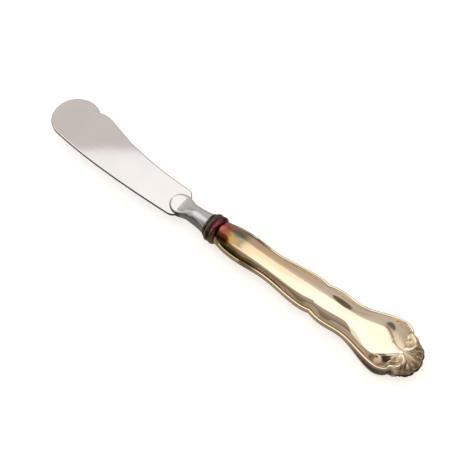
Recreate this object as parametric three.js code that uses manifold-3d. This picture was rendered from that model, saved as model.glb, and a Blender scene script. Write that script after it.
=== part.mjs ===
// A butter knife with a hollow silver handle. The steel blade is forged in one piece with its bolster
// and tang, and the tang is set in cement between two stamped handle shells. The shells are soldered
// rim to rim behind a ringed ferrule. Each has a beaded rim with a cusp in each side, a flute inside
// the rim, a raised panel, and a fan of flutes between two scrolls at the butt.
//
// Lengths are in millimetres. The handle's axis is X with the butt at +X, the cutting edge is at -Y and
// the seam lies in the plane of X and Y. X = 0 is the joint between the ferrule and the handle shells.

import * as THREE from "three";
import { mergeVertices } from "three/addons/utils/BufferGeometryUtils.js";
import Module from "manifold-3d";

// Plan of the handle: widths over the rim, and where they lie along the handle
const HANDLE_LENGTH = 75.4;
const NECK_WIDTH = 8.3;
const SHOULDER_FROM_FERRULE = 9.5;
const SHOULDER_WIDTH = 10.9;
const WAIST_FROM_FERRULE = 19.5;
const WAIST_WIDTH = 9.8;
const SIDE_CUSP_FROM_BUTT = 36.6;
const SIDE_CUSP_WIDTH = 11.5;
const SWELL_BEFORE_CUSP = 3.8;
const SWELL_BEFORE_WIDTH = 12.6;
const SWELL_AFTER_CUSP = 5;
const SWELL_AFTER_WIDTH = 13.2;
const GRIP_FROM_BUTT = 25.4;
const GRIP_WIDTH = 12.5;
const LOBE_FROM_BUTT = 10.4;
const LOBE_WIDTH = 18.6;

// Fan of flutes at the butt: its length and width over the flutes, and how far it opens to each side
const FAN_LENGTH = 6.1;
const FAN_WIDTH = 13.9;
const FAN_SCALLOP = 0.45;
const FAN_OPENING = 95;
const FAN_FLUTES = 5;
const FLUTE_RELIEF = 0.24;
const SCROLL_RADIUS = 0.6;
const SCROLL_END_RADIUS = 0.4;

// Height of the handle's crown above the seam
const WAIST_CROWN = 3.5;
const BUTT_CROWN = 4.6;
const BUTT_CROWN_FROM_BUTT = 18.2;
const FAN_CENTRE_HEIGHT = 3.2;

// Section of a handle shell
const SHELL_WALL = 0.5;
const BEAD_RADIUS = 0.6;
const BEAD_HEIGHT = 0.7;
const BUTT_BEAD_HEIGHT = 2.1;
const QUIRK = 0.1;
const HOLLOW_RISE = 0.5;
const NECK_BLEND = 7;
const FAN_BLUNTNESS = 2.3;

// Raised panel inside the rim, which ends in a point at the middle of the fan
const WAIST_PANEL_WIDTH = 6.6;
const GRIP_PANEL_WIDTH = 7.2;
const BUTT_PANEL_WIDTH = 11;
const BUTT_PANEL_FROM_BUTT = 14.6;
const PANEL_POINT_WIDTH = 1.2;

// Joints inside the handle
const SEAM_THICKNESS = 0.3;
const SOLDER_SETBACK = 0.15;
const SOLDER_WIDTH = 0.9;
const CLEARANCE = 0.3;
const SPIGOT_RADIUS = 3.4;
const CORE_START = 2;

// Ferrule
const FERRULE_LENGTH = 4.85;
const FERRULE_REAR_RADIUS = 4.2;
const FERRULE_FRONT_RADIUS = 3.9;
const FRONT_BEAD_RADIUS = 4.1;
const FRONT_BEAD_WIDTH = 0.85;
const MIDDLE_BEAD_RADIUS = 4.95;
const MIDDLE_BEAD_WIDTH = 1.9;
const REAR_BEAD_RADIUS = 5;
const RING_GROOVE_RADIUS = 4.55;
const LIP_LENGTH = 1.6;

// Blade, from the ferrule's front face, with heights from the handle's axis
const BLADE_LENGTH = 71.95;
const BLADE_THICKNESS = 1.2;
const EDGE_ROUNDING = 0.4;
const TIP_RADIUS = 8.62;
const TIP_RISE = 4.81;
const TIP_EDGE_TURN = 80;
const NOTCH_FROM_TIP = 13.75;
const HUMP_LENGTH = 5.6;
const HUMP_HEIGHT = 12.5;
const HUMP_ROUND = 0.55;
const SPINE_DIP_FROM_TIP = 42;
const SPINE_DIP_HEIGHT = 7;
const HEEL_FROM_FERRULE = 10.6;
const HEEL_SPINE_HEIGHT = 6.3;
const HEEL_EDGE_DEPTH = 5.3;
const HEEL_CORNER = 3.2;
const BELLY_DEPTH = 5.9;

// Bolster, pad and tang
const BOLSTER_BASE_DIAMETER = 7.4;
const BOLSTER_WAIST_WIDTH = 6.1;
const BOLSTER_WAIST_FROM_FERRULE = 6.8;
const PAD_RADIUS = 3.9;
const PAD_FROM_FERRULE = 11.7;
const PAD_THICKNESS = 2.6;
const TANG_LENGTH = 52;
const TANG_WIDTH = 3.6;
const TANG_THICKNESS = 2.4;
const TANG_END_WIDTH = 2.4;
const TANG_END_THICKNESS = 1.7;

const wasm = await Module();
wasm.setup();

const { clamp, lerp, smoothstep, degToRad } = THREE.MathUtils;
const FAN_CENTRE = HANDLE_LENGTH - FAN_LENGTH;
const RIM_LAND = 2 * BEAD_RADIUS + QUIRK;
const SPIGOT_LENGTH = FERRULE_LENGTH - LIP_LENGTH - CLEARANCE;

/** A closed solid from a geometry, with shared corners merged and faces that came to nothing dropped. */
function solid(geometry) {
  const bare = new THREE.BufferGeometry();
  bare.setAttribute("position", geometry.getAttribute("position"));
  bare.setIndex(geometry.index);
  const merged = mergeVertices(bare, 1e-4);
  const corners = merged.index.array;
  const kept = [];
  for (let i = 0; i < corners.length; i += 3) {
    const [a, b, c] = corners.slice(i, i + 3);
    if (a !== b && b !== c && c !== a) kept.push(a, b, c);
  }
  const mesh = new wasm.Mesh({
    numProp: 3,
    vertProperties: new Float32Array(merged.getAttribute("position").array),
    triVerts: new Uint32Array(kept),
  });
  return new wasm.Manifold(mesh);
}

/** The geometry of a solid. */
function geometryOf(made) {
  const mesh = made.getMesh();
  const geometry = new THREE.BufferGeometry();
  geometry.setAttribute("position", new THREE.BufferAttribute(mesh.vertProperties, 3));
  geometry.setIndex(new THREE.BufferAttribute(mesh.triVerts, 1));
  geometry.computeVertexNormals();
  return geometry;
}

/** Six times the volume inside a geometry, negative where its faces point inwards. */
function signedVolume(points, index) {
  let sum = 0;
  for (let i = 0; i < index.length; i += 3) {
    const [a, b, c] = [points[index[i]], points[index[i + 1]], points[index[i + 2]]];
    sum += a.dot(new THREE.Vector3().crossVectors(b, c));
  }
  return sum;
}

/** A skin over closed loops with equal numbers of points. An end that comes to a line needs no cap. */
function loft(loops, capped = [true, true]) {
  const count = loops[0].length;
  const points = loops.flat();
  const index = [];
  for (let i = 0; i + 1 < loops.length; i += 1) {
    for (let j = 0; j < count; j += 1) {
      const a = i * count + j;
      const b = i * count + ((j + 1) % count);
      index.push(a, b, b + count, a, b + count, a + count);
    }
  }
  [0, loops.length - 1].forEach((i, end) => {
    if (!capped[end]) return;
    const middle = loops[i].reduce((sum, p) => sum.add(p), new THREE.Vector3()).divideScalar(count);
    points.push(middle);
    for (let j = 0; j < count; j += 1) {
      const a = i * count + j;
      const b = i * count + ((j + 1) % count);
      index.push(points.length - 1, ...(end ? [a, b] : [b, a]));
    }
  });
  if (signedVolume(points, index) < 0) index.reverse();
  const geometry = new THREE.BufferGeometry().setFromPoints(points);
  geometry.setIndex(index);
  return geometry;
}

/** One side of the handle's rim from the ferrule to the lobe, between cusps. */
class RimSide extends THREE.Curve {
  constructor(from, to) {
    super();
    this.from = from;
    this.to = to;
  }

  static halfWidth(x) {
    const cusp = HANDLE_LENGTH - SIDE_CUSP_FROM_BUTT;
    const before = cusp - SWELL_BEFORE_CUSP;
    const after = cusp + SWELL_AFTER_CUSP;
    const grip = HANDLE_LENGTH - GRIP_FROM_BUTT;
    const lobe = HANDLE_LENGTH - LOBE_FROM_BUTT;
    const eased = (from, to, a, b) => lerp(from, to, smoothstep(x, a, b)) / 2;
    if (x <= SHOULDER_FROM_FERRULE) {
      const rest = 1 - x / SHOULDER_FROM_FERRULE;
      return lerp(SHOULDER_WIDTH, NECK_WIDTH, rest * rest) / 2;
    }
    if (x <= WAIST_FROM_FERRULE) {
      return eased(SHOULDER_WIDTH, WAIST_WIDTH, SHOULDER_FROM_FERRULE, WAIST_FROM_FERRULE);
    }
    if (x <= before) return eased(WAIST_WIDTH, SWELL_BEFORE_WIDTH, WAIST_FROM_FERRULE, before);
    if (x <= cusp) {
      return lerp(SWELL_BEFORE_WIDTH, SIDE_CUSP_WIDTH, ((x - before) / SWELL_BEFORE_CUSP) ** 2) / 2;
    }
    if (x <= after) {
      return lerp(SWELL_AFTER_WIDTH, SIDE_CUSP_WIDTH, ((after - x) / SWELL_AFTER_CUSP) ** 2) / 2;
    }
    if (x <= grip) return eased(SWELL_AFTER_WIDTH, GRIP_WIDTH, after, grip);
    return eased(GRIP_WIDTH, LOBE_WIDTH, grip, lobe);
  }

  getPoint(t, target = new THREE.Vector2()) {
    const x = lerp(this.from, this.to, t);
    return target.set(x, RimSide.halfWidth(x));
  }
}

/** Height of a flute's back at an angle from the butt, from 0 between flutes to 1 on a crest. */
function fluteShape(angle) {
  return Math.abs(Math.cos((FAN_FLUTES * Math.PI * angle) / (2 * degToRad(FAN_OPENING))));
}

/** The scalloped edge of the fan, from its corner at the lobe to the end of the butt. */
class FanEdge extends THREE.Curve {
  getPoint(t, target = new THREE.Vector2()) {
    const angle = degToRad(FAN_OPENING) * (1 - t);
    const cut = FAN_SCALLOP * (1 - fluteShape(angle));
    return target.set(
      FAN_CENTRE + (FAN_LENGTH - cut) * Math.cos(angle), (FAN_WIDTH / 2 - cut) * Math.sin(angle),
    );
  }
}

/** Stations round one side of the rim: its point, the way inwards and the foot on the handle's axis. */
function rimStations() {
  const cusp = HANDLE_LENGTH - SIDE_CUSP_FROM_BUTT;
  const lobe = HANDLE_LENGTH - LOBE_FROM_BUTT;
  const fan = new FanEdge();
  const corner = fan.getPoint(0);
  const lobeEnd = new THREE.EllipseCurve(
    lobe, corner.y, corner.x - lobe, LOBE_WIDTH / 2 - corner.y, Math.PI / 2, 0, true,
  );
  const spans = [
    [new RimSide(0, cusp), 12],
    [new RimSide(cusp, lobe), 10],
    [lobeEnd, 5],
    [fan, 2 * FAN_FLUTES],
  ];
  const stations = [];
  spans.forEach(([curve, steps], span) => {
    for (let i = 0; i <= steps; i += 1) {
      const t = i / steps;
      const rim = curve.getPoint(t);
      const along = curve.getTangent(t);
      const inward = new THREE.Vector2(along.y, -along.x);
      if (i === 0 && span > 0) {
        stations.at(-1).inward.add(inward).normalize();
        continue;
      }
      const angle = curve === fan ? degToRad(FAN_OPENING) * (1 - t) : null;
      stations.push({ rim, inward, angle, foot: Math.min(rim.x, FAN_CENTRE) });
    }
  });
  stations[0].inward.set(0, -1);
  const last = stations.at(-1);
  last.rim.y = 0;
  last.inward.set(-1, 0);
  return stations;
}

/** Height of the crown over a foot on the axis. */
function crownAt(x) {
  const high = HANDLE_LENGTH - BUTT_CROWN_FROM_BUTT;
  if (x <= WAIST_FROM_FERRULE) {
    return lerp(NECK_WIDTH / 2, WAIST_CROWN, smoothstep(x, 0, WAIST_FROM_FERRULE));
  }
  if (x <= high) return lerp(WAIST_CROWN, BUTT_CROWN, smoothstep(x, WAIST_FROM_FERRULE, high));
  return lerp(BUTT_CROWN, FAN_CENTRE_HEIGHT, ((x - high) / (FAN_CENTRE - high)) ** 2);
}

/** Height of the rim bead's centre, which rises towards the butt. */
function beadHeight(x) {
  const share = smoothstep(x, HANDLE_LENGTH - GRIP_FROM_BUTT, HANDLE_LENGTH - LOBE_FROM_BUTT);
  return lerp(BEAD_HEIGHT, BUTT_BEAD_HEIGHT, share);
}

/** Half the width of the raised panel over a foot on the axis. */
function panelHalfWidth(x) {
  const grip = HANDLE_LENGTH - GRIP_FROM_BUTT;
  const butt = HANDLE_LENGTH - BUTT_PANEL_FROM_BUTT;
  if (x <= grip) {
    return lerp(WAIST_PANEL_WIDTH, GRIP_PANEL_WIDTH, smoothstep(x, WAIST_FROM_FERRULE, grip)) / 2;
  }
  if (x <= butt) return lerp(GRIP_PANEL_WIDTH, BUTT_PANEL_WIDTH, smoothstep(x, grip, butt)) / 2;
  return lerp(BUTT_PANEL_WIDTH, PANEL_POINT_WIDTH, ((x - butt) / (FAN_CENTRE - butt)) ** 1.3) / 2;
}

/** How much of the beaded rim a station has: none at the round neck or over the butt, all between. */
function rimShare(station) {
  if (station.angle === null) return smoothstep(station.rim.x, 0, NECK_BLEND);
  const opening = degToRad(FAN_OPENING);
  return smoothstep(station.angle, opening * 0.6, opening);
}

/** Distance from a station's rim to its foot, straight in over the rim and then across. */
function reachOf(station) {
  const { rim, inward, foot } = station;
  const land = rim.clone().addScaledVector(inward, RIM_LAND);
  return RIM_LAND + land.distanceTo(new THREE.Vector2(foot, 0));
}

/** Half a section over the top, as distances in from the rim and heights: wall, bead, flute and panel. */
function sectionOf(station) {
  const reach = reachOf(station);
  const crown = crownAt(station.foot);
  const share = rimShare(station);
  const edge = Math.min(panelHalfWidth(station.foot), (reach - RIM_LAND) * 0.9);
  const hollow = reach - RIM_LAND - edge;
  const top = beadHeight(station.rim.x);
  const fall = Math.min(1, (2 * edge) / GRIP_PANEL_WIDTH) * (1 - HOLLOW_RISE);
  const edgeHeight = lerp(crown, top, fall);
  const bead = [180, 115, 60, 8].map((turn) => {
    const angle = degToRad(turn);
    return [BEAD_RADIUS * (1 + Math.cos(angle)), top + BEAD_RADIUS * Math.sin(angle)];
  });
  const flute = [0.3, 0.7].map((t) => [
    RIM_LAND + hollow * t,
    lerp(top - QUIRK, edgeHeight, t * lerp(0.5, 1, t)),
  ]);
  const panel = [1, 0.75, 0.5, 0.25, 0].map((y) => [reach - edge * y, lerp(crown, edgeHeight, y * y)]);
  const beaded = [[0, SEAM_THICKNESS / 2], ...bead, [RIM_LAND, top - QUIRK], ...flute, ...panel];
  const back = station.valley ? 0 : fluteShape(station.angle ?? 0);
  const flutes = station.angle === null ? 0 : FLUTE_RELIEF * (1 - share) * (back - 1);
  return beaded.map(([inset, height], i) => {
    const turn = (Math.PI / 2) * (i / (beaded.length - 1));
    const power = station.angle === null ? 1 : 2 / FAN_BLUNTNESS;
    const round = [
      reach * (1 - Math.cos(turn) ** power), Math.max(SEAM_THICKNESS / 2, crown * Math.sin(turn) ** power),
    ];
    const relief = 1 + flutes * Math.sin(2 * turn);
    return new THREE.Vector2(lerp(round[0], inset, share), lerp(round[1], height, share) * relief);
  });
}

/** Where a distance in from a station's rim lies in plan. */
function planPoint(station, inset) {
  const { rim, inward, foot } = station;
  const land = rim.clone().addScaledVector(inward, Math.min(inset, RIM_LAND));
  if (inset <= RIM_LAND) return land;
  const across = new THREE.QuadraticBezierCurve(
    land,
    land.clone().addScaledVector(inward, RIM_LAND),
    new THREE.Vector2(foot, 0),
  );
  return across.getPoint((inset - RIM_LAND) / (reachOf(station) - RIM_LAND));
}

/** A closed loop over both sides of the handle from half a section, ending on the plane below it. */
function loopOver(station, section) {
  const near = section.map((p) => {
    const plan = planPoint(station, p.x);
    return new THREE.Vector3(plan.x, plan.y, p.y);
  });
  const far = near.slice(0, -1).map((p) => new THREE.Vector3(p.x, -p.y, p.z));
  return [...near, ...far.reverse()];
}

/** Half a round bar along X, from the seam up, as loops of a given number of points. */
function halfRound(from, to, radius, base, count) {
  return [from, to].map((x) =>
    Array.from({ length: count }, (_, i) => {
      const angle = Math.PI * ((i - 1) / (count - 3));
      if (i === 0) return new THREE.Vector3(x, radius, base);
      if (i === count - 1) return new THREE.Vector3(x, -radius, base);
      return new THREE.Vector3(x, radius * Math.cos(angle), Math.max(base, radius * Math.sin(angle)));
    }),
  );
}

/** The inside of a handle shell, set in from its outer face and open at the neck. */
function insideOf(stations, inset, start, base) {
  const bore = SPIGOT_RADIUS - SHELL_WALL - (inset - SHELL_WALL);
  const loops = [];
  stations.forEach((station) => {
    if (station.foot < start + NECK_BLEND / 2) return;
    const outer = sectionOf({ ...station, valley: true });
    const inner = outer.slice(6).map((p, i, all) => {
      if (i === all.length - 1) return new THREE.Vector2(p.x, p.y - inset);
      const along = all[i + 1].clone().sub(all[Math.max(0, i - 1)]).normalize();
      return new THREE.Vector2(p.x + along.y * inset, p.y - along.x * inset);
    });
    inner.unshift(new THREE.Vector2(inner[0].x, base));
    loops.push(loopOver(station, inner.map((p) => p.setY(Math.max(base, p.y)))));
  });
  const neck = halfRound(start, start + NECK_BLEND / 4, bore, base, loops[0].length);
  return loft([...neck, ...loops], [true, false]);
}

/** A round bead along a curve, from one radius to another, with blunt ends. */
function taperedBead(curve, steps, sides, radiusAt) {
  const frames = curve.computeFrenetFrames(steps, false);
  const loops = frames.tangents.map((_, i) => {
    const centre = curve.getPointAt(i / steps);
    return Array.from({ length: sides }, (__, j) => {
      const turn = (2 * Math.PI * j) / sides;
      return centre
        .clone()
        .addScaledVector(frames.normals[i], radiusAt(i / steps) * Math.cos(turn))
        .addScaledVector(frames.binormals[i], radiusAt(i / steps) * Math.sin(turn));
    });
  });
  return loft(loops);
}

/** The scroll that curls from the fan's corner to its centre, on one side. */
function scroll(side) {
  const turns = [1, 0.84, 0.62, 0.36, 0.2];
  const radii = [0.84, 0.79, 0.54, 0.32, 0.16];
  const knots = turns.map((turn, i) => {
    const angle = degToRad(FAN_OPENING) * turn;
    const height = lerp(BUTT_BEAD_HEIGHT, FAN_CENTRE_HEIGHT, Math.sqrt(1 - radii[i] ** 2));
    return new THREE.Vector3(
      FAN_CENTRE + radii[i] * FAN_LENGTH * Math.cos(angle),
      side * radii[i] * (FAN_WIDTH / 2) * Math.sin(angle),
      height,
    );
  });
  const curve = new THREE.CatmullRomCurve3(knots);
  return taperedBead(curve, 10, 7, (t) => lerp(SCROLL_RADIUS, SCROLL_END_RADIUS, t));
}

/** One stamped handle shell, above the seam. */
function handleShell(stations) {
  const body = solid(loft(stations.map((s) => loopOver(s, sectionOf(s))), [true, false]));
  const base = SEAM_THICKNESS / 2;
  const spigot = solid(loft(halfRound(-SPIGOT_LENGTH, RIM_LAND, SPIGOT_RADIUS, base, 16)));
  const hollow = solid(insideOf(stations, SHELL_WALL, -2 * SPIGOT_LENGTH, -BEAD_HEIGHT));
  return geometryOf(
    body
      .add(spigot)
      .add(solid(scroll(1)))
      .add(solid(scroll(-1)))
      .subtract(hollow),
  );
}

/** The solder between the two shells, a flat strip that follows the rim. */
function seamSolder(stations) {
  const line = (inset) => stations.slice(1).map((s) => planPoint(s, inset));
  const both = (points) => {
    const far = points.slice(0, -1).map((p) => new THREE.Vector2(p.x, -p.y));
    return [...points, ...far.reverse()];
  };
  const outside = both(line(SOLDER_SETBACK));
  const inside = both(line(SOLDER_SETBACK + SOLDER_WIDTH));
  const shape = new THREE.Shape([...outside, ...inside.reverse()]);
  const strip = new THREE.ExtrudeGeometry(shape, { depth: SEAM_THICKNESS, bevelEnabled: false });
  return geometryOf(solid(strip.translate(0, 0, -SEAM_THICKNESS / 2)));
}

/** A tapered bar for the tang, or for its slot when it is given a clearance. */
function tangBar(from, clearance) {
  const end = TANG_LENGTH - FERRULE_LENGTH + clearance;
  const loops = [
    [from, TANG_WIDTH, TANG_THICKNESS],
    [end, TANG_END_WIDTH, TANG_END_THICKNESS],
  ].map(([x, width, thickness]) => {
    const y = width / 2 + clearance;
    const z = thickness / 2 + clearance;
    return [[y, z], [-y, z], [-y, -z], [y, -z]].map((p) => new THREE.Vector3(x, ...p));
  });
  return loft(loops);
}

/** The cement inside the handle, around the tang. */
function fillerCore(stations) {
  const half = insideOf(stations, SHELL_WALL + CLEARANCE, CORE_START, -SEAM_THICKNESS);
  const upper = solid(half);
  const lower = solid(half.clone().rotateX(Math.PI));
  return geometryOf(upper.add(lower).subtract(solid(tangBar(-FERRULE_LENGTH, CLEARANCE))));
}

/** The ringed ferrule, turned about the handle's axis, with a socket for the shells' spigot. */
function ferrule() {
  const front = -FERRULE_LENGTH;
  const step = front + FRONT_BEAD_WIDTH;
  const groove = step + MIDDLE_BEAD_WIDTH;
  const socket = SPIGOT_RADIUS + CLEARANCE;
  const bore = SPIGOT_RADIUS - SHELL_WALL;
  const bead = (path, from, to, crest, end) => {
    const start = path.currentPoint.x;
    path.bezierCurveTo(
      (4 * crest - start) / 3, lerp(from, to, 0.12), (4 * crest - end) / 3, lerp(from, to, 0.88), end, to,
    );
  };
  const profile = new THREE.Path();
  profile.moveTo(bore, front);
  profile.lineTo(FERRULE_FRONT_RADIUS, front);
  bead(profile, front, step, FRONT_BEAD_RADIUS, FERRULE_FRONT_RADIUS);
  bead(profile, step, groove, MIDDLE_BEAD_RADIUS, RING_GROOVE_RADIUS);
  bead(profile, groove, 0, REAR_BEAD_RADIUS, FERRULE_REAR_RADIUS);
  profile.lineTo(socket, 0);
  profile.lineTo(socket, front + LIP_LENGTH);
  profile.lineTo(bore, front + LIP_LENGTH);
  profile.lineTo(bore, front);
  const turned = new THREE.LatheGeometry(profile.getPoints(5), 32);
  return geometryOf(solid(turned.rotateZ(-Math.PI / 2)));
}

/** Outline of the blade, with X as the distance from the ferrule towards the tip. */
function bladeOutline() {
  const centre = new THREE.Vector2(BLADE_LENGTH - TIP_RADIUS, TIP_RISE);
  const notchTurn = Math.acos(clamp(1 - NOTCH_FROM_TIP / TIP_RADIUS, -0.95, 0.5));
  const notch = centre.x + TIP_RADIUS * Math.cos(notchTurn);
  const notchHeight = TIP_RISE + TIP_RADIUS * Math.sin(notchTurn);
  const edgeTurn = -degToRad(TIP_EDGE_TURN);
  const edgeStart = centre.x + TIP_RADIUS * Math.cos(edgeTurn);
  const hump = notch - HUMP_LENGTH;
  const dip = BLADE_LENGTH - SPINE_DIP_FROM_TIP;
  const heel = HEEL_FROM_FERRULE;
  const run = heel + HEEL_CORNER;
  const spineAt = (share) => lerp(SPINE_DIP_HEIGHT, HUMP_HEIGHT, share);
  const outline = new THREE.Shape();
  outline.moveTo(heel, PAD_RADIUS);
  outline.quadraticCurveTo(heel + HEEL_CORNER / 4, HEEL_SPINE_HEIGHT, run, HEEL_SPINE_HEIGHT);
  outline.bezierCurveTo(
    lerp(run, dip, 0.5), HEEL_SPINE_HEIGHT,
    dip, lerp(SPINE_DIP_HEIGHT, HEEL_SPINE_HEIGHT, 0.3),
    lerp(dip, hump, 0.5), spineAt(0.34),
  );
  outline.quadraticCurveTo(lerp(dip, hump, 0.86), spineAt(0.74), hump, HUMP_HEIGHT - HUMP_ROUND);
  outline.quadraticCurveTo(lerp(hump, notch, 0.62), HUMP_HEIGHT + HUMP_ROUND / 2, notch, notchHeight);
  outline.absarc(centre.x, centre.y, TIP_RADIUS, notchTurn, edgeTurn, true);
  outline.bezierCurveTo(
    lerp(edgeStart, run, 0.3), -BELLY_DEPTH,
    lerp(edgeStart, run, 0.66), -BELLY_DEPTH,
    run, -HEEL_EDGE_DEPTH,
  );
  outline.quadraticCurveTo(heel + HEEL_CORNER / 4, -HEEL_EDGE_DEPTH, heel, -PAD_RADIUS * 0.85);
  return outline;
}

/** The flat of the blade, with its edges eased. */
function bladePlate() {
  const plate = new THREE.ExtrudeGeometry(bladeOutline(), {
    depth: BLADE_THICKNESS - 2 * EDGE_ROUNDING,
    bevelThickness: EDGE_ROUNDING,
    bevelSize: EDGE_ROUNDING,
    bevelOffset: -EDGE_ROUNDING,
    bevelSegments: 2,
    curveSegments: 14,
  });
  plate.translate(0, 0, EDGE_ROUNDING - BLADE_THICKNESS / 2);
  return solid(plate.rotateY(Math.PI).translate(-FERRULE_LENGTH, 0, 0));
}

/** The bolster, drawn in behind the ferrule and spread into a round pad on both faces of the blade. */
function bolster() {
  const end = PAD_FROM_FERRULE + PAD_RADIUS;
  const steps = 16;
  const loops = Array.from({ length: steps + 1 }, (_, i) => {
    const t = i / steps;
    const along = end * (1 - (1 - t) ** 1.5);
    const base = BOLSTER_BASE_DIAMETER / 2;
    const waist = BOLSTER_WAIST_WIDTH / 2;
    let half = Math.sqrt(Math.max(0, PAD_RADIUS ** 2 - (along - PAD_FROM_FERRULE) ** 2));
    if (along < BOLSTER_WAIST_FROM_FERRULE) {
      half = lerp(waist, base, (1 - along / BOLSTER_WAIST_FROM_FERRULE) ** 2);
    } else if (along < PAD_FROM_FERRULE) {
      half = lerp(waist, PAD_RADIUS, smoothstep(along, BOLSTER_WAIST_FROM_FERRULE, PAD_FROM_FERRULE));
    }
    const rise = lerp(base, PAD_THICKNESS / 2, 1 - Math.max(0, 1 - along / PAD_FROM_FERRULE) ** 1.9);
    const squareness = lerp(1, 0.7, Math.min(1, along / PAD_FROM_FERRULE) ** 3);
    return Array.from({ length: 20 }, (__, j) => {
      const turn = (2 * Math.PI * j) / 20;
      const y = Math.sign(Math.cos(turn)) * Math.abs(Math.cos(turn)) ** squareness;
      const z = Math.sign(Math.sin(turn)) * Math.abs(Math.sin(turn)) ** squareness;
      return new THREE.Vector3(-FERRULE_LENGTH - along, half * y, rise * z);
    });
  });
  return solid(loft(loops, [true, false]));
}

/** The whole forging: blade, bolster and tang. */
function blade() {
  const tang = solid(tangBar(-FERRULE_LENGTH - PAD_RADIUS, 0));
  return geometryOf(bladePlate().add(bolster()).add(tang));
}

/** A named piece with its own finish. */
function piece(name, geometry, color, roughness, metalness) {
  const mesh = new THREE.Mesh(geometry, new THREE.MeshStandardMaterial({ color, roughness, metalness }));
  mesh.name = name;
  return mesh;
}

const stations = rimStations();
const shell = handleShell(stations);
const knife = new THREE.Group();
knife.name = "butter_knife";
knife.add(piece("blade", blade(), 0xcfcac6, 0.16, 1));
knife.add(piece("ferrule", ferrule(), 0x6a5a55, 0.22, 1));
knife.add(piece("handle_front_shell", shell, 0xe6d9bd, 0.18, 1));
const back = piece("handle_back_shell", shell.clone(), 0xe6d9bd, 0.18, 1);
back.rotation.x = Math.PI;
knife.add(back);
knife.add(piece("seam_solder", seamSolder(stations), 0xc9bfae, 0.35, 1));
knife.add(piece("filler_core", fillerCore(stations), 0x8a6f58, 0.9, 0));

// The knife lies on its face: the origin is under the middle of its box, at the lowest point
const box = new THREE.Box3().setFromObject(knife, true);
const middle = box.getCenter(new THREE.Vector3());
knife.position.set(-middle.x, -middle.y, -box.min.z);

export default knife;
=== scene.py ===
"""Looks of a butter knife with a hollow silver handle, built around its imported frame."""

import logging
import math
from dataclasses import dataclass
from enum import Enum
from typing import Any, Mapping, Sequence, Union

import bmesh
import bpy
import numpy as np
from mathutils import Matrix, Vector


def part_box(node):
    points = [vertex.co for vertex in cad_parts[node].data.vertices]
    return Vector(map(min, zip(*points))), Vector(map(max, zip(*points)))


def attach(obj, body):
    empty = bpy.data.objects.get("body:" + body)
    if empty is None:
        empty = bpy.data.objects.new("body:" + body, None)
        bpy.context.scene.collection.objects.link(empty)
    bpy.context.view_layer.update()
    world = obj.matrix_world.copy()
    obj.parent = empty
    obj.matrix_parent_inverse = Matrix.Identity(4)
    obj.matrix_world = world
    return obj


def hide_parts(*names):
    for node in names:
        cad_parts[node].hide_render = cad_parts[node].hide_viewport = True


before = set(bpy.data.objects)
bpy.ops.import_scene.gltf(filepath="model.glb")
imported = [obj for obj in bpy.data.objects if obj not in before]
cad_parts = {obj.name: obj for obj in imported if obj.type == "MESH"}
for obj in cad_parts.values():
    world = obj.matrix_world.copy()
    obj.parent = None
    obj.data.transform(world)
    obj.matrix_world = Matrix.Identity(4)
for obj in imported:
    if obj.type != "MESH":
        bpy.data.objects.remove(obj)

Array = np.ndarray
Colour = tuple[float, float, float]
Place = tuple[float, float, float]
Pair = tuple[float, float]
Oval = tuple[float, float, float, float]
Stops = tuple[tuple[float, Colour], ...]
Number = Union[float, "Signal"]

MM = 0.001
WELD = 2e-7
BUMP_DEPTH = 0.0001
log = logging.getLogger("butter_knife")


# Small helpers for curves and grids


def mix(start: Any, end: Any, share: Any) -> Any:
    """The value that lies the given share of the way from start to end."""
    return start + (end - start) * share


def ease(x: Array, low: float, high: float) -> Array:
    """A share that rises from 0 at low to 1 at high, level at both ends."""
    t = np.clip((x - low) / (high - low), 0.0, 1.0)
    return t * t * (3.0 - 2.0 * t)


def unit(vectors: Array) -> Array:
    """The vectors, one in each row, at a length of 1."""
    return vectors / np.linalg.norm(vectors, axis=-1, keepdims=True)


def bezier(controls: Sequence[Sequence[float]], count: int) -> Array:
    """Points along a Bezier curve: each control point times its Bernstein polynomial.

    Args:
        controls: Three or four control points.
        count: Number of points to return.

    Returns:
        The points, one row each.
    """
    points = np.asarray(controls, float)
    degree = len(points) - 1
    t = np.linspace(0.0, 1.0, count)[:, None]
    index = np.arange(degree + 1)
    choose = np.array([math.comb(degree, i) for i in index])
    return (choose * t**index * (1.0 - t) ** (degree - index)) @ points


def catmull(knots: Array, count: int) -> Array:
    """Points along a smooth curve through knots: a cubic between each pair, with its neighbours' slopes.

    Args:
        knots: The knots, one row each.
        count: Number of points to return.

    Returns:
        The points, one row each.
    """
    padded = np.vstack([2 * knots[0] - knots[1], knots, 2 * knots[-1] - knots[-2]])
    place = np.linspace(0.0, len(knots) - 1.0, count)
    start = np.minimum(place.astype(int), len(knots) - 2)
    t = (place - start)[:, None]
    a, b, c, d = (padded[start + i] for i in range(4))
    return 0.5 * (2 * b + (c - a) * t + (2 * a - 5 * b + 4 * c - d) * t**2 + (3 * b - a - 3 * c + d) * t**3)


def resample(points: Array, count: int) -> Array:
    """Points spaced evenly along a polyline.

    Args:
        points: The polyline, one row for each corner.
        count: Number of points to return.

    Returns:
        The points, one row each.
    """
    length = np.concatenate([[0.0], np.cumsum(np.linalg.norm(np.diff(points, axis=0), axis=1))])
    wanted = np.linspace(0.0, length[-1], count)
    return np.stack([np.interp(wanted, length, axis) for axis in points.T], axis=1)


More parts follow.
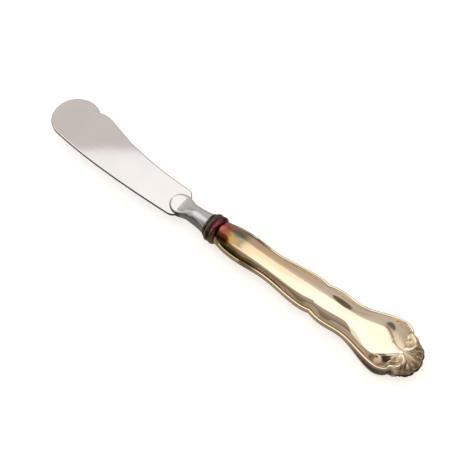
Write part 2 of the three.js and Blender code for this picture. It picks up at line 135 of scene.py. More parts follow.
def grid_faces(rows: int, columns: int, closed_rows: bool = False, closed_columns: bool = False) -> Array:
    """Corner numbers of the quads of a grid of points.

    Args:
        rows: Number of rows of points.
        columns: Number of points in a row.
        closed_rows: Whether the last row joins the first.
        closed_columns: Whether the last column joins the first.

    Returns:
        Four corner numbers for each quad.
    """
    i, j = np.meshgrid(
        np.arange(rows if closed_rows else rows - 1),
        np.arange(columns if closed_columns else columns - 1),
        indexing="ij",
    )
    down, across = (i + 1) % rows, (j + 1) % columns
    corners = [i * columns + j, i * columns + across, down * columns + across, down * columns + j]
    return np.stack(corners, axis=-1).reshape(-1, 4)


@dataclass(frozen=True)
class Datum:
    """The middle of the joint between ferrule and handle, where every size starts, in metres."""

    x: float
    y: float
    z: float

    @classmethod
    def from_frame(cls) -> "Datum":
        """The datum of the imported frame, read from its ferrule."""
        low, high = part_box("ferrule")
        return cls(high.x, (low.y + high.y) / 2, (low.z + high.z) / 2)

    def place(self, points: Array) -> Array:
        """Points in the frame, in metres, from points about the datum in millimetres."""
        return np.asarray(points, float) * MM + np.array([self.x, self.y, self.z])

    def about(self, points: Array) -> Array:
        """Points about the datum in millimetres, from points in the frame, in metres."""
        return (points - np.array([self.x, self.y, self.z])) / MM


class Body(Enum):
    """The bodies of the frame that pieces ride on."""

    KNIFE = "root"


class Slot(Enum):
    """Names of material slots."""

    STEEL = "blade_steel"
    FERRULE = "ferrule_silver"
    HANDLE = "handle_silver"


@dataclass(frozen=True)
class Surface:
    """A mesh before it is made: points in millimetres about the datum, quads, and values at the points."""

    points: Array
    faces: Array
    values: Mapping[str, Array]

    def build(self, name: str, datum: Datum, material: bpy.types.Material) -> bpy.types.Object:
        """Makes the mesh, with points that coincide merged, and gives it a material.

        Args:
            name: Name of the object.
            datum: Where the points are measured from.
            material: The finish.

        Returns:
            The new object, at the origin.
        """
        mesh = bpy.data.meshes.new(name)
        mesh.vertices.add(len(self.points))
        mesh.vertices.foreach_set("co", datum.place(self.points).ravel())
        mesh.loops.add(self.faces.size)
        mesh.loops.foreach_set("vertex_index", self.faces.ravel())
        mesh.polygons.add(len(self.faces))
        mesh.polygons.foreach_set("loop_start", np.arange(0, self.faces.size, self.faces.shape[1]))
        for key, value in self.values.items():
            mesh.attributes.new(key, "FLOAT", "POINT").data.foreach_set("value", value.ravel())
        mesh.update(calc_edges=True)
        welded = bmesh.new()
        welded.from_mesh(mesh)
        bmesh.ops.remove_doubles(welded, verts=welded.verts, dist=WELD)
        welded.to_mesh(mesh)
        welded.free()
        mesh.polygons.foreach_set("use_smooth", np.ones(len(mesh.polygons), bool))
        mesh.materials.append(material)
        made = bpy.data.objects.new(name, mesh)
        bpy.context.scene.collection.objects.link(made)
        log.info("%s: %d faces", name, len(mesh.polygons))
        return made


# Shader graphs


@dataclass(frozen=True)
class Signal:
    """A number that changes over a surface: an output socket, with Python's operators as Math nodes."""

    graph: "Graph"
    socket: bpy.types.NodeSocket

    def _math(self, operation: str, *terms: Number) -> "Signal":
        """A Math node of that operation on the terms."""
        return self.graph.signal("ShaderNodeMath", {"operation": operation}, dict(enumerate(terms)))

    def __add__(self, other: Number) -> "Signal":
        """The sum."""
        return self._math("ADD", self, other)

    def __radd__(self, other: Number) -> "Signal":
        """The sum, the other way round."""
        return self._math("ADD", other, self)

    def __sub__(self, other: Number) -> "Signal":
        """The difference."""
        return self._math("SUBTRACT", self, other)

    def __rsub__(self, other: Number) -> "Signal":
        """The difference, the other way round."""
        return self._math("SUBTRACT", other, self)

    def __mul__(self, other: Number) -> "Signal":
        """The product."""
        return self._math("MULTIPLY", self, other)

    def __rmul__(self, other: Number) -> "Signal":
        """The product, the other way round."""
        return self._math("MULTIPLY", other, self)

    def __truediv__(self, other: Number) -> "Signal":
        """The quotient."""
        return self._math("DIVIDE", self, other)

    def __rtruediv__(self, other: Number) -> "Signal":
        """The quotient, the other way round."""
        return self._math("DIVIDE", other, self)

    def __pow__(self, other: Number) -> "Signal":
        """The power."""
        return self._math("POWER", self, other)

    def __rpow__(self, other: Number) -> "Signal":
        """The power, the other way round."""
        return self._math("POWER", other, self)

    def greatest(self, other: Number) -> "Signal":
        """The greater of the two."""
        return self._math("MAXIMUM", self, other)

    def least(self, other: Number) -> "Signal":
        """The lesser of the two."""
        return self._math("MINIMUM", self, other)

    def between(self, low: float, high: float) -> "Signal":
        """A share that rises smoothly from 0 to 1, or falls where high is below low.

        Args:
            low: Where the share is 0.
            high: Where it is 1.

        Returns:
            The share.
        """
        settings = {"interpolation_type": "SMOOTHSTEP"}
        if low <= high:
            return self.graph.signal("ShaderNodeMapRange", settings, {0: self, 1: low, 2: high})
        return 1.0 - self.graph.signal("ShaderNodeMapRange", settings, {0: self, 1: high, 2: low})


class Graph:
    """The nodes of a material or world."""

    def __init__(self, owner: Union[bpy.types.Material, bpy.types.World]) -> None:
        """Clears the owner's nodes.

        Args:
            owner: The material or world.
        """
        owner.use_nodes = True
        self.tree = owner.node_tree
        self.tree.nodes.clear()

    def node(self, kind: str, settings: Mapping[str, Any], sockets: Mapping[Any, Any]) -> bpy.types.Node:
        """Adds a node.

        Args:
            kind: The node's type.
            settings: Its own settings, which are set first. A ramp's stops are pairs of place and colour.
            sockets: Values, signals or sockets for its inputs, by name or number.

        Returns:
            The node.
        """
        made = self.tree.nodes.new(kind)
        for key, value in settings.items():
            if key == "stops":
                self._fill_ramp(made.color_ramp, value)
            else:
                setattr(made, key, value)
        for key, value in sockets.items():
            source = value.socket if isinstance(value, Signal) else value
            if isinstance(source, bpy.types.NodeSocket):
                self.tree.links.new(source, made.inputs[key])
            else:
                made.inputs[key].default_value = source
        return made

    @staticmethod
    def _fill_ramp(ramp: bpy.types.ColorRamp, stops: Stops) -> None:
        """Gives a ramp its stops.

        Args:
            ramp: The ramp, which starts with two stops.
            stops: Places from 0 to 1, in order, and their colours.
        """
        while len(ramp.elements) < len(stops):
            ramp.elements.new(1.0)
        for element, (place, colour) in zip(ramp.elements, stops):
            element.position = place
            element.color = (*colour, 1.0)

    def signal(
        self, kind: str, settings: Mapping[str, Any], sockets: Mapping[Any, Any], out: Any = 0
    ) -> Signal:
        """Adds a node and returns one of its outputs as a signal."""
        return Signal(self, self.node(kind, settings, sockets).outputs[out])

    def place(self) -> bpy.types.NodeSocket:
        """The place on the piece, in the frame's metres."""
        return self.node("ShaderNodeTexCoord", {}, {}).outputs["Object"]

    def axes(self, vector: bpy.types.NodeSocket) -> list[Signal]:
        """The three parts of a vector."""
        made = self.node("ShaderNodeSeparateXYZ", {}, {0: vector})
        return [Signal(self, part) for part in made.outputs]

    def noise(self, vector: bpy.types.NodeSocket, scale: float, detail: float) -> Signal:
        """Noise from 0 to 1 with that many cells to the metre."""
        sockets = {"Vector": vector, "Scale": scale, "Detail": detail}
        return self.signal("ShaderNodeTexNoise", {}, sockets, "Fac")

    def grain(self, vector: bpy.types.NodeSocket, scale: Place, detail: float) -> Signal:
        """Noise from 0 to 1 that runs one way, with that many cells to the metre on each axis."""
        made = self.node("ShaderNodeVectorMath", {"operation": "MULTIPLY"}, {0: vector, 1: scale})
        return self.noise(made.outputs[0], 1.0, detail)

    def attribute(self, name: str) -> Signal:
        """A value kept at the mesh's points."""
        return self.signal("ShaderNodeAttribute", {"attribute_name": name}, {}, "Fac")

    def ramp(self, share: Signal, stops: Stops) -> bpy.types.NodeSocket:
        """The colour at a share of the way along a row of colours."""
        return self.node("ShaderNodeValToRGB", {"stops": stops}, {0: share}).outputs[0]

    def tint(self, share: Number, start: Any, end: Any) -> bpy.types.NodeSocket:
        """The colour that lies the given share of the way from one colour to another."""
        # The Mix node has its two colours at inputs 6 and 7, and the mixed one at output 2
        sockets = {0: share, 6: self._colour(start), 7: self._colour(end)}
        return self.node("ShaderNodeMix", {"data_type": "RGBA"}, sockets).outputs[2]

    @staticmethod
    def _colour(value: Any) -> Any:
        """A colour with its alpha, or a socket as it is."""
        return (*value, 1.0) if isinstance(value, tuple) else value

    def bump(self, height: Signal, strength: float) -> bpy.types.NodeSocket:
        """A normal tilted by a height that varies over the surface."""
        sockets = {"Height": height, "Strength": strength, "Distance": BUMP_DEPTH}
        return self.node("ShaderNodeBump", {}, sockets).outputs[0]

    def metal(
        self, colour: Any, roughness: Number, normal: bpy.types.NodeSocket, metallic: float = 1.0
    ) -> None:
        """Ends a material in a shader for metal, or for a plain solid where metallic is 0."""
        sockets = {"Base Color": colour, "Roughness": roughness, "Metallic": metallic, "Normal": normal}
        self.end(self.node("ShaderNodeBsdfPrincipled", {}, sockets).outputs[0])

    def glow(self, colour: Any, strength: float) -> bpy.types.NodeSocket:
        """A shader that gives off light of a colour."""
        sockets = {"Color": self._colour(colour), "Strength": strength}
        return self.node("ShaderNodeEmission", {}, sockets).outputs[0]

    def matt(self, colour: bpy.types.NodeSocket) -> bpy.types.NodeSocket:
        """A shader of a plain matt colour."""
        return self.node("ShaderNodeBsdfDiffuse", {}, {"Color": colour}).outputs[0]

    def end(self, shader: bpy.types.NodeSocket) -> None:
        """Ends a material in a shader."""
        self.node("ShaderNodeOutputMaterial", {}, {"Surface": shader})

    def layers(self, base: Any, coats: Sequence[tuple[Number, Any]]) -> bpy.types.NodeSocket:
        """Colours laid one over another.

        Args:
            base: The colour underneath.
            coats: The share that each coat covers, and its colour.

        Returns:
            The colour on top.
        """
        for share, colour in coats:
            base = self.tint(share, base, colour)
        return base


# Finishes, with places in metres from the datum and grains in cells to the metre


@dataclass(frozen=True)
class PolishedSteel:
    """Stainless steel with a worn polish: rubs along the blade, a faint waviness, a satin bolster and
    painted shade on its near side.
    """

    name: str = "polished_steel"
    colour: Colour = (0.715, 0.675, 0.655)
    cloudy: Colour = (0.675, 0.64, 0.625)
    satin: Colour = (0.53, 0.51, 0.495)
    flank_shade: Colour = (0.11, 0.105, 0.10)
    line: Colour = (0.04, 0.036, 0.032)
    rub_grain: Place = (60.0, 1400.0, 600.0)
    cloud_grain: float = 55.0
    wave_grain: float = 45.0
    cloud_edge: Pair = (0.35, 0.75)
    satin_shade_side: Pair = (0.0012, -0.0002)
    satin_shade_strength: Pair = (0.6, 1.4)
    flank_side: Pair = (-0.0011, -0.0024)
    flank_strength: float = 0.6
    line_side: Pair = (0.0005, -0.002)
    line_strength: Pair = (0.22, 0.97)
    roughness: float = 0.02
    cloud_roughness: float = 0.025
    rub_roughness: float = 0.02
    satin_roughness: float = 0.07
    rub_height: float = 0.12
    wave_height: float = 5.0
    bump: float = 0.1

    def material(self, datum: Datum) -> bpy.types.Material:
        """Makes the material, with painted shade: a dark line along the blade's edges and round the pad,
        stronger on the cutting edge's side.

        Args:
            datum: The joint between ferrule and handle.

        Returns:
            The material.
        """
        made = bpy.data.materials.new(self.name)
        graph = Graph(made)
        place = graph.place()
        rubs = graph.grain(place, self.rub_grain, detail=3.0)
        cloud = graph.noise(place, self.cloud_grain, detail=2.0)
        waves = graph.noise(place, self.wave_grain, detail=0.0)
        satin, flank, line = (graph.attribute(name) for name in ("satin", "flank", "line"))
        y = graph.axes(place)[1] - datum.y
        colour = graph.layers(self.colour, (
            (cloud.between(*self.cloud_edge), self.cloudy),
            # painted shade: the satin colour darkens the bolster's near half, while the satin zone's
            # roughness is its real finish
            (satin * y.between(*self.satin_shade_side) * mix(*self.satin_shade_strength, rubs), self.satin),
            # painted shade on the bolster's near flank
            (flank * y.between(*self.flank_side) * self.flank_strength, self.flank_shade),
            # painted shade: a dark line along the blade's edges and round the pad, stronger on the near side
            (line * mix(*self.line_strength, y.between(*self.line_side)), self.line),
        ))
        roughness = self.roughness + cloud * self.cloud_roughness + rubs * self.rub_roughness
        roughness = roughness + satin * self.satin_roughness
        height = rubs * self.rub_height + waves * self.wave_height
        graph.metal(colour, roughness, graph.bump(height, self.bump))
        return made


@dataclass(frozen=True)
class Blot:
    """A soft oval of another colour: where its middle lies, half its length and width, and its strength."""

    x: float
    y: float
    half_length: float
    half_width: float
    strength: float
    fade: Pair = (0.0, 0.8)

    def share(self, x: Signal, y: Signal) -> Signal:
        """How strong the oval is: 1 less the squares of both distances, each in halves of the oval.

        Args:
            x: Places along the handle.
            y: Places across it.

        Returns:
            The strength, which fades to 0 on the oval's edge.
        """
        along = (x - self.x) * (1.0 / self.half_length)
        across = (y - self.y) * (1.0 / self.half_width)
        return (1.0 - along**2.0 - across**2.0).between(*self.fade) * self.strength


@dataclass(frozen=True)
class AgedSilver:
    """Silver that has kept its polish on the panel, is browned in its hollows by tarnish and painted shade,
    and stained by the ferrule.
    """

    name: str = "aged_silver"
    bright: Colour = (0.88, 0.75, 0.575)
    cream: Colour = (0.83, 0.69, 0.51)
    cream_edge: Pair = (0.38, 0.72)
    warm: Colour = (0.80, 0.60, 0.395)
    warm_along: Pair = (0.044, 0.021)
    warm_side: Pair = (-0.0006, -0.0024)
    warm_loss: float = 0.6
    hollow: Colour = (0.60, 0.475, 0.315)
    hollow_at: Pair = (0.0, 0.5)
    brown: Colour = (0.28, 0.21, 0.135)
    brown_at: Pair = (0.55, 1.1)
    umber: Colour = (0.085, 0.052, 0.015)
    umber_at: Pair = (1.05, 1.6)
    umber_near_ferrule_at: Pair = (0.1, 0.6)
    umber_depth: Pair = (-0.75, 0.25)
    far_light_side: Pair = (0.0008, 0.0028)
    far_light_along: Pair = (0.0718, 0.0692)
    far_light_loss: float = 0.6
    grime_and_shade_levels: Pair = (0.8, 1.2)
    film_and_highlight: Colour = (0.68, 0.50, 0.305)
    film_along: Pair = (0.021, 0.008)
    film_wander: float = 0.012
    stain_reach: float = 0.012
    stain_wander: float = 0.35
    stain_edge: Pair = (-0.05, 0.3)
    stains: Stops = (
        (0.0, (0.66, 0.50, 0.315)),
        (0.15, (0.47, 0.385, 0.24)),
        (0.30, (0.30, 0.25, 0.15)),
        (0.44, (0.37, 0.27, 0.12)),
        (0.57, (0.41, 0.25, 0.085)),
        (0.70, (0.27, 0.12, 0.04)),
        (0.82, (0.24, 0.08, 0.04)),
        (0.91, (0.44, 0.125, 0.09)),
        (0.98, (0.30, 0.065, 0.065)),
        (1.0, (0.07, 0.018, 0.02)),
    )
    collar_shade: Colour = (0.05, 0.014, 0.012)
    collar_shade_depth: Pair = (0.80, 0.90)
    collar_shade_side: Pair = (-0.0004, -0.0022)
    olive_reflection: Colour = (0.46, 0.36, 0.20)
    olive_reflection_side: Pair = (-0.0015, -0.0030)
    russet: Colour = (0.38, 0.20, 0.13)
    russet_blot: Blot = Blot(0.0036, 0.0030, 0.0036, 0.0020, 1.0)
    near_dark: Colour = (0.055, 0.012, 0.003)
    near_dark_blot: Blot = Blot(0.0029, -0.0028, 0.0030, 0.0017, 0.95)
    edge_highlight_blot: Blot = Blot(0.0105, -0.0029, 0.0050, 0.0007, 0.9)
    teal: Colour = (0.125, 0.165, 0.135)
    teal_blot: Blot = Blot(0.0070, 0.0012, 0.0026, 0.0017, 0.85)
    teal_wander: Pair = (0.006, 0.003)
    cloud_grain: float = 130.0
    fine_grain: float = 900.0
    flow_grain: Place = (110.0, 260.0, 260.0)
    rub_grain: Place = (120.0, 1500.0, 1500.0)
    roughness: float = 0.05
    cloud_roughness: float = 0.05
    recess_roughness: float = 0.1
    stain_roughness: float = 0.06
    rub_height: float = 0.2
    cloud_height: float = 2.0
    bump: float = 0.08

    def material(self, datum: Datum) -> bpy.types.Material:
        """Makes the material: polish with grime and painted shade in its hollows, and the stain over it.

        Args:
            datum: The joint between ferrule and handle.

        Returns:
            The material.
        """
        made = bpy.data.materials.new(self.name)
        graph = Graph(made)
        place = graph.place()
        x, y, _ = graph.axes(place)
        x, y = x - datum.x, y - datum.y
        recess = graph.attribute("recess")
        cloud = graph.noise(place, self.cloud_grain, detail=3.0)
        flow = graph.grain(place, self.flow_grain, detail=2.0) - 0.5
        depth = 1.0 - x * (1.0 / self.stain_reach) + flow * self.stain_wander
        fine = graph.noise(place, self.fine_grain, detail=2.0)
        # painted light on the far side: less of the grime and painted shade there, up to the fan
        unlit_share = 1.0 - y.between(*self.far_light_side) * x.between(*self.far_light_along) * self.far_light_loss
        grime_and_shade_depth = recess * unlit_share * mix(*self.grime_and_shade_levels, fine)
        along, across = self.teal_wander
        colour = graph.layers(self._polish(graph, x, y, cloud, grime_and_shade_depth), (
            ((x + flow * self.film_wander).between(*self.film_along), self.film_and_highlight),
            (depth.between(*self.stain_edge), self._stain(graph, x, y, depth)),
            (self.teal_blot.share(x + flow * along, y + (cloud - 0.5) * across), self.teal),
            (recess.between(*self.umber_near_ferrule_at) * depth.between(*self.umber_depth), self.umber),
        ))
        rubs = graph.grain(place, self.rub_grain, detail=2.0)
        roughness = self.roughness + cloud * self.cloud_roughness + recess * self.recess_roughness
        roughness = roughness + depth.between(0.0, 1.0) * self.stain_roughness
        height = rubs * self.rub_height + cloud * self.cloud_height
        graph.metal(colour, roughness, graph.bump(height, self.bump))
        return made

    def _polish(
        self, graph: Graph, x: Signal, y: Signal, cloud: Signal, grime_and_shade_depth: Signal
    ) -> bpy.types.NodeSocket:
        """The colour of the polish, which warms towards the ferrule and darkens with the grime and painted
        shade.

        Args:
            graph: The material's nodes.
            x: Places along the handle.
            y: Places across it.
            cloud: Soft noise.
            grime_and_shade_depth: How deep the grime and painted shade are.

        Returns:
            The colour.
        """
        warmth = x.between(*self.warm_along) * (1.0 - y.between(*self.warm_side) * self.warm_loss)
        return graph.layers(self.bright, (
            (cloud.between(*self.cream_edge), self.cream),
            (warmth, self.warm),
            (grime_and_shade_depth.between(*self.hollow_at), self.hollow),
            (grime_and_shade_depth.between(*self.brown_at), self.brown),
            (grime_and_shade_depth.between(*self.umber_at), self.umber),
        ))

    def _stain(self, graph: Graph, x: Signal, y: Signal, depth: Signal) -> bpy.types.NodeSocket:
        """The colour of the stain: bands of colour towards the ferrule, with blots on them, painted shade on
        the near side by the collar, a painted highlight along the near panel edge and a painted olive
        reflection on the near rim.

        Args:
            graph: The material's nodes.
            x: Places along the handle.
            y: Places across it.
            depth: How far into the stain a place lies, from 0 to 1.

        Returns:
            The colour.
        """
        return graph.layers(graph.ramp(depth, self.stains), (
            (self.russet_blot.share(x, y), self.russet),
            # painted shade on the near side by the collar
            (depth.between(*self.collar_shade_depth) * y.between(*self.collar_shade_side), self.collar_shade),
            # a dark blot on the near side of the stain
            (self.near_dark_blot.share(x, y), self.near_dark),
            # painted highlight along the near edge of the panel
            (self.edge_highlight_blot.share(x, y), self.film_and_highlight),
            # painted olive reflection on the near side's rim
            (graph.attribute("edge") * y.between(*self.olive_reflection_side), self.olive_reflection),
        ))


@dataclass(frozen=True)
class DarkCollar:
    """Silver tarnished nearly black: grey-green rings in front, a maroon one behind, and a painted olive
    reflection on the near side.
    """

    name: str = "dark_collar"
    green: Stops = (
        (0.30, (0.012, 0.014, 0.012)),
        (0.46, (0.055, 0.06, 0.048)),
        (0.56, (0.12, 0.125, 0.10)),
        (0.66, (0.05, 0.02, 0.022)),
        (0.76, (0.02, 0.022, 0.018)),
    )
    maroon: Stops = (
        (0.30, (0.014, 0.006, 0.007)),
        (0.45, (0.07, 0.014, 0.018)),
        (0.56, (0.24, 0.055, 0.065)),
        (0.68, (0.05, 0.012, 0.014)),
    )
    olive_reflection: Stops = (
        (0.36, (0.02, 0.016, 0.01)),
        (0.48, (0.20, 0.17, 0.075)),
        (0.56, (0.15, 0.05, 0.02)),
        (0.66, (0.10, 0.11, 0.07)),
    )
    rear_ring: float = 0.0021
    rear_edge: Pair = (-0.0003, 0.0003)
    rear_wander: float = 0.0012
    olive_reflection_side: Pair = (-0.0024, -0.0036)
    olive_reflection_wander: float = 0.003
    olive_reflection_strength: float = 0.85
    streak_grain: Place = (380.0, 200.0, 200.0)
    patch_grain: float = 420.0
    speck_grain: float = 1500.0
    roughness: float = 0.05
    speck_roughness: float = 0.1
    bump: float = 0.12

    def material(self, datum: Datum) -> bpy.types.Material:
        """Makes the material, with its rings measured from the datum.

        Args:
            datum: The joint between ferrule and handle.

        Returns:
            The material.
        """
        made = bpy.data.materials.new(self.name)
        graph = Graph(made)
        place = graph.place()
        x, y, _ = graph.axes(place)
        streaks = graph.grain(place, self.streak_grain, detail=3.0)
        patches = graph.noise(place, self.patch_grain, detail=2.0)
        specks = graph.noise(place, self.speck_grain, detail=2.0)
        rear = x - datum.x + self.rear_ring + (streaks - 0.5) * self.rear_wander
        low = y - datum.y + (patches - 0.5) * self.olive_reflection_wander
        colour = graph.layers(graph.ramp(streaks, self.green), (
            (rear.between(*self.rear_edge), graph.ramp(streaks, self.maroon)),
            # painted olive reflection on the collar's near side
            (low.between(*self.olive_reflection_side) * self.olive_reflection_strength, graph.ramp(patches, self.olive_reflection)),
        ))
        roughness = self.roughness + specks * self.speck_roughness
        graph.metal(colour, roughness, graph.bump(specks, self.bump))
        return made


@dataclass(frozen=True)
class SpeckledFinish:
    """A plain finish with fine specks, for the solder and the cement."""

    name: str
    colour: Colour
    speck: Colour
    roughness: float
    metallic: float
    grain: float
    speck_edge: Pair = (0.35, 0.7)
    speck_roughness: float = 0.12
    bump: float = 0.3

    def material(self) -> bpy.types.Material:
        """Makes the material.

        Returns:
            The material.
        """
        made = bpy.data.materials.new(self.name)
        graph = Graph(made)
        specks = graph.noise(graph.place(), self.grain, detail=4.0)
        colour = graph.tint(specks.between(*self.speck_edge), self.colour, self.speck)
        roughness = self.roughness + specks * self.speck_roughness
        graph.metal(colour, roughness, graph.bump(specks, self.bump), self.metallic)
        return made


# Pieces


@dataclass(frozen=True)
class RimLine:
    """Stations round one side of a shell: rim points, the way inwards, the fan's angle and the feet."""

    points: Array
    inward: Array
    angle: Array
    in_fan: Array
    foot: Array

    @property
    def x(self) -> Array:
        """Where the stations' rim points lie along the handle."""
        return self.points[:, 0]

    @property
    def feet(self) -> Array:
        """The stations' feet on the handle's axis, in plan."""
        return np.stack([self.foot, np.zeros_like(self.foot)], axis=1)

    def landing(self, land: float) -> Array:
        """Where the stations leave the land beside the rim, in plan."""
        return self.points + self.inward * land


@dataclass
class HandleShell:
    """A stamped handle shell above the seam, in millimetres from the ferrule."""

    datum: Datum
    length: float = 75.4
    neck_width: float = 8.3
    shoulder_at: float = 9.5
    shoulder_width: float = 10.9
    waist_at: float = 19.5
    waist_width: float = 9.8
    cusp_from_butt: float = 36.6
    cusp_width: float = 11.5
    swell_before: float = 3.8
    swell_before_width: float = 12.6
    swell_after: float = 5.0
    swell_after_width: float = 13.2
    grip_from_butt: float = 25.4
    grip_width: float = 12.5
    lobe_from_butt: float = 10.4
    lobe_width: float = 18.6
    fan_length: float = 6.1
    fan_width: float = 13.9
    fan_scallop: float = 0.26
    fan_opening: float = math.radians(95.0)
    fan_blend: float = 0.66
    fan_flutes: int = 5
    fan_ridges: int = 10
    ridge_relief: float = 0.17
    fan_bluntness: float = 2.3
    scroll: tuple[Pair, ...] = (
        (-0.14, 0.89), (0.15, 0.735), (0.26, 0.53), (0.22, 0.30), (0.05, 0.19), (-0.02, 0.32))
    scroll_radius: float = 1.35
    scroll_end_radius: float = 0.7
    scroll_sink: float = 0.62
    hook_centre: Pair = (0.02, 0.55)
    hook_radius: float = 0.26
    hook_hollow: float = 0.55
    hook_bowl: float = 1.5
    waist_crown: float = 3.5
    butt_crown: float = 4.6
    butt_crown_from_butt: float = 18.2
    fan_height: float = 3.2
    wall: float = 0.5
    bead_radius: float = 0.4
    bead_stop: float = 8.0
    bead_height: float = 0.7
    butt_bead_height: float = 2.1
    quirk: float = 0.1
    hollow_rise: float = 0.5
    butt_hollow_rise: float = 0.74
    hollow_slope: float = 0.8
    butt_hollow_slope: float = 0.15
    neck_blend: float = 4.5
    waist_panel: float = 6.6
    grip_panel: float = 7.2
    butt_panel: float = 11.0
    butt_panel_from_butt: float = 14.6
    panel_point: float = 1.2
    panel_draw: float = 1.3
    panel_limit: float = 0.9
    seam: float = 0.15
    spigot_radius: float = 3.4
    spigot_length: float = 2.95
    slope_step: float = 0.01
    smooth_passes: int = 2
    smooth_lead: float = 2.0
    smooth_fade: float = 0.4

    # Numbers of stations and columns, and how far turns are softened, in stations
    front_stations: int = 122
    cusp_stations: int = 7
    rear_stations: int = 96
    end_stations: int = 42
    corner_stations: int = 12
    fan_stations: int = 111
    cusp_softness: Pair = (6.0, 36.0)
    corner_softness: Pair = (11.0, 56.0)
    wall_columns: int = 4
    bead_columns: int = 15
    hollow_columns: int = 11
    panel_columns: int = 24
    scroll_points: int = 120

    # Grime and painted shade, with the places along the handle where they come and go
    front_end: Pair = (24.0, 38.0)
    front_levels: Pair = (1.0, 0.8)
    stain_end: Pair = (11.0, 15.0)
    stain_panel: Pair = (0.8, 1.0)
    stain_panel_shade: float = 0.8
    tarnish_start: Pair = (10.0, 13.0)
    tarnish_end: Pair = (15.0, 19.0)
    tarnish_grime: float = 0.9
    middle_start: Pair = (36.0, 42.0)
    middle_end: Pair = (57.0, 64.0)
    middle_loss: float = 0.45
    hollow_fade: float = 0.7
    side_start: Pair = (8.0, 15.0)
    side_grime_and_shade: Pair = (0.6, 1.7)
    side_fade: float = 0.3
    bead_outer_shade: float = 0.8
    bead_inner: float = 0.55
    bead_outer: float = 0.15
    fan_clean: Pair = (0.45, 0.9)
    fan_grime_and_shade: float = 0.05
    fan_edge_grime_and_shade: float = 0.42
    valley_grime_and_shade: float = 0.45
    valley_edge_grime_and_shade: float = 0.3
    foot_grime_and_shade: float = 1.6
    foot_height: Pair = (0.2, 1.9)
    hook_grime_and_shade: float = 0.5
    edge_start: float = 0.6

    @property
    def cusp(self) -> float:
        """Where the cusps in the sides lie."""
        return self.length - self.cusp_from_butt

    @property
    def grip(self) -> float:
        """Where the handle is gripped, between the swell and the lobes."""
        return self.length - self.grip_from_butt

    @property
    def lobe(self) -> float:
        """Where the butt is widest."""
        return self.length - self.lobe_from_butt

    @property
    def fan_centre(self) -> float:
        """Where the flutes of the fan meet."""
        return self.length - self.fan_length

    @property
    def fan_middle(self) -> Array:
        """Where the flutes of the fan meet, in plan."""
        return np.array([self.fan_centre, 0.0])

    @property
    def fan_halves(self) -> Array:
        """The fan's length and half its width."""
        return np.array([self.fan_length, self.fan_width / 2])

    @property
    def fan_slope(self) -> float:
        """How steeply the crown falls where it meets the fan."""
        return 2 * (self.butt_crown - self.fan_height) / (self.butt_crown_from_butt - self.fan_length)

    @property
    def land(self) -> float:
        """Width of the bead and the quirk beside it."""
        return 2 * self.bead_radius + self.quirk

    def half_width(self, x: Array) -> Array:
        """Half the width over the rim: parabolas up to each cusp and smooth steps between the other widths.

        Args:
            x: Distances from the ferrule.

        Returns:
            Half the width at each.
        """
        before, after = self.cusp - self.swell_before, self.cusp + self.swell_after
        neck = np.clip(1 - x / self.shoulder_at, 0, 1) ** 2
        to_cusp = np.clip((x - before) / self.swell_before, 0, 1) ** 2
        from_cusp = np.clip((after - x) / self.swell_after, 0, 1) ** 2
        bows = [
            (self.shoulder_at, self.shoulder_width, self.neck_width, neck),
            (self.waist_at, self.shoulder_width, self.waist_width, ease(x, self.shoulder_at, self.waist_at)),
            (before, self.waist_width, self.swell_before_width, ease(x, self.waist_at, before)),
            (self.cusp, self.swell_before_width, self.cusp_width, to_cusp),
            (after, self.swell_after_width, self.cusp_width, from_cusp),
            (self.grip, self.swell_after_width, self.grip_width, ease(x, after, self.grip)),
        ]
        lobe = mix(self.grip_width, self.lobe_width, ease(x, self.grip, self.lobe))
        return np.select([x <= bow[0] for bow in bows], [mix(*bow[1:]) for bow in bows], lobe) / 2

    def crown(self, x: Array) -> Array:
        """Height over the axis: smooth steps to the waist and the butt, then a parabola down to the fan.

        Args:
            x: Distances from the ferrule.

        Returns:
            The height at each.
        """
        high = self.length - self.butt_crown_from_butt
        neck = mix(self.neck_width / 2, self.waist_crown, ease(x, 0.0, self.waist_at))
        grip = mix(self.waist_crown, self.butt_crown, ease(x, self.waist_at, high))
        fall = np.clip((x - high) / (self.fan_centre - high), 0, 1) ** 2
        butt = mix(self.butt_crown, self.fan_height, fall)
        return np.select([x <= self.waist_at, x <= high], [neck, grip], butt)

    def panel(self, x: Array) -> Array:
        """Half the width of the raised panel: smooth steps to the butt, then drawn to a point at the fan.

        Args:
            x: Distances from the ferrule.

        Returns:
            Half the width at each.
        """
        butt = self.length - self.butt_panel_from_butt
        waist = mix(self.waist_panel, self.grip_panel, ease(x, self.waist_at, self.grip))
        grip = mix(self.grip_panel, self.butt_panel, ease(x, self.grip, butt))
        draw = np.clip((x - butt) / (self.fan_centre - butt), 0, 1) ** self.panel_draw
        point = mix(self.butt_panel, self.panel_point, draw)
        return np.select([x <= self.grip, x <= butt], [waist, grip], point) / 2

    def flute(self, angle: Array) -> Array:
        """Height of a flute's back, 0 between flutes and 1 on a crest: a folded cosine of the angle."""
        return np.abs(np.cos(self.fan_flutes * math.pi * angle / (2 * self.fan_opening)))

    def valley(self, angle: Array) -> Array:
        """Depth between the fan's ridges, from 0 to 1: a folded sine of the angle."""
        return np.abs(np.sin(self.fan_ridges * math.pi * angle / (2 * self.fan_opening)))

    def _side(self, start: float, stop: float, count: int) -> tuple[Array, Array]:
        """A length of the side.

        Args:
            start: Where it starts along the handle.
            stop: Where it stops.
            count: Number of stations.

        Returns:
            Its rim points and the way inwards, square to the rim.
        """
        x = np.linspace(start, stop, count)
        left, right = np.maximum(x - self.slope_step, start), np.minimum(x + self.slope_step, stop)
        slope = (self.half_width(right) - self.half_width(left)) / (right - left)
        points = np.stack([x, self.half_width(x)], axis=1)
        return points, unit(np.stack([slope, -np.ones_like(x)], axis=1))

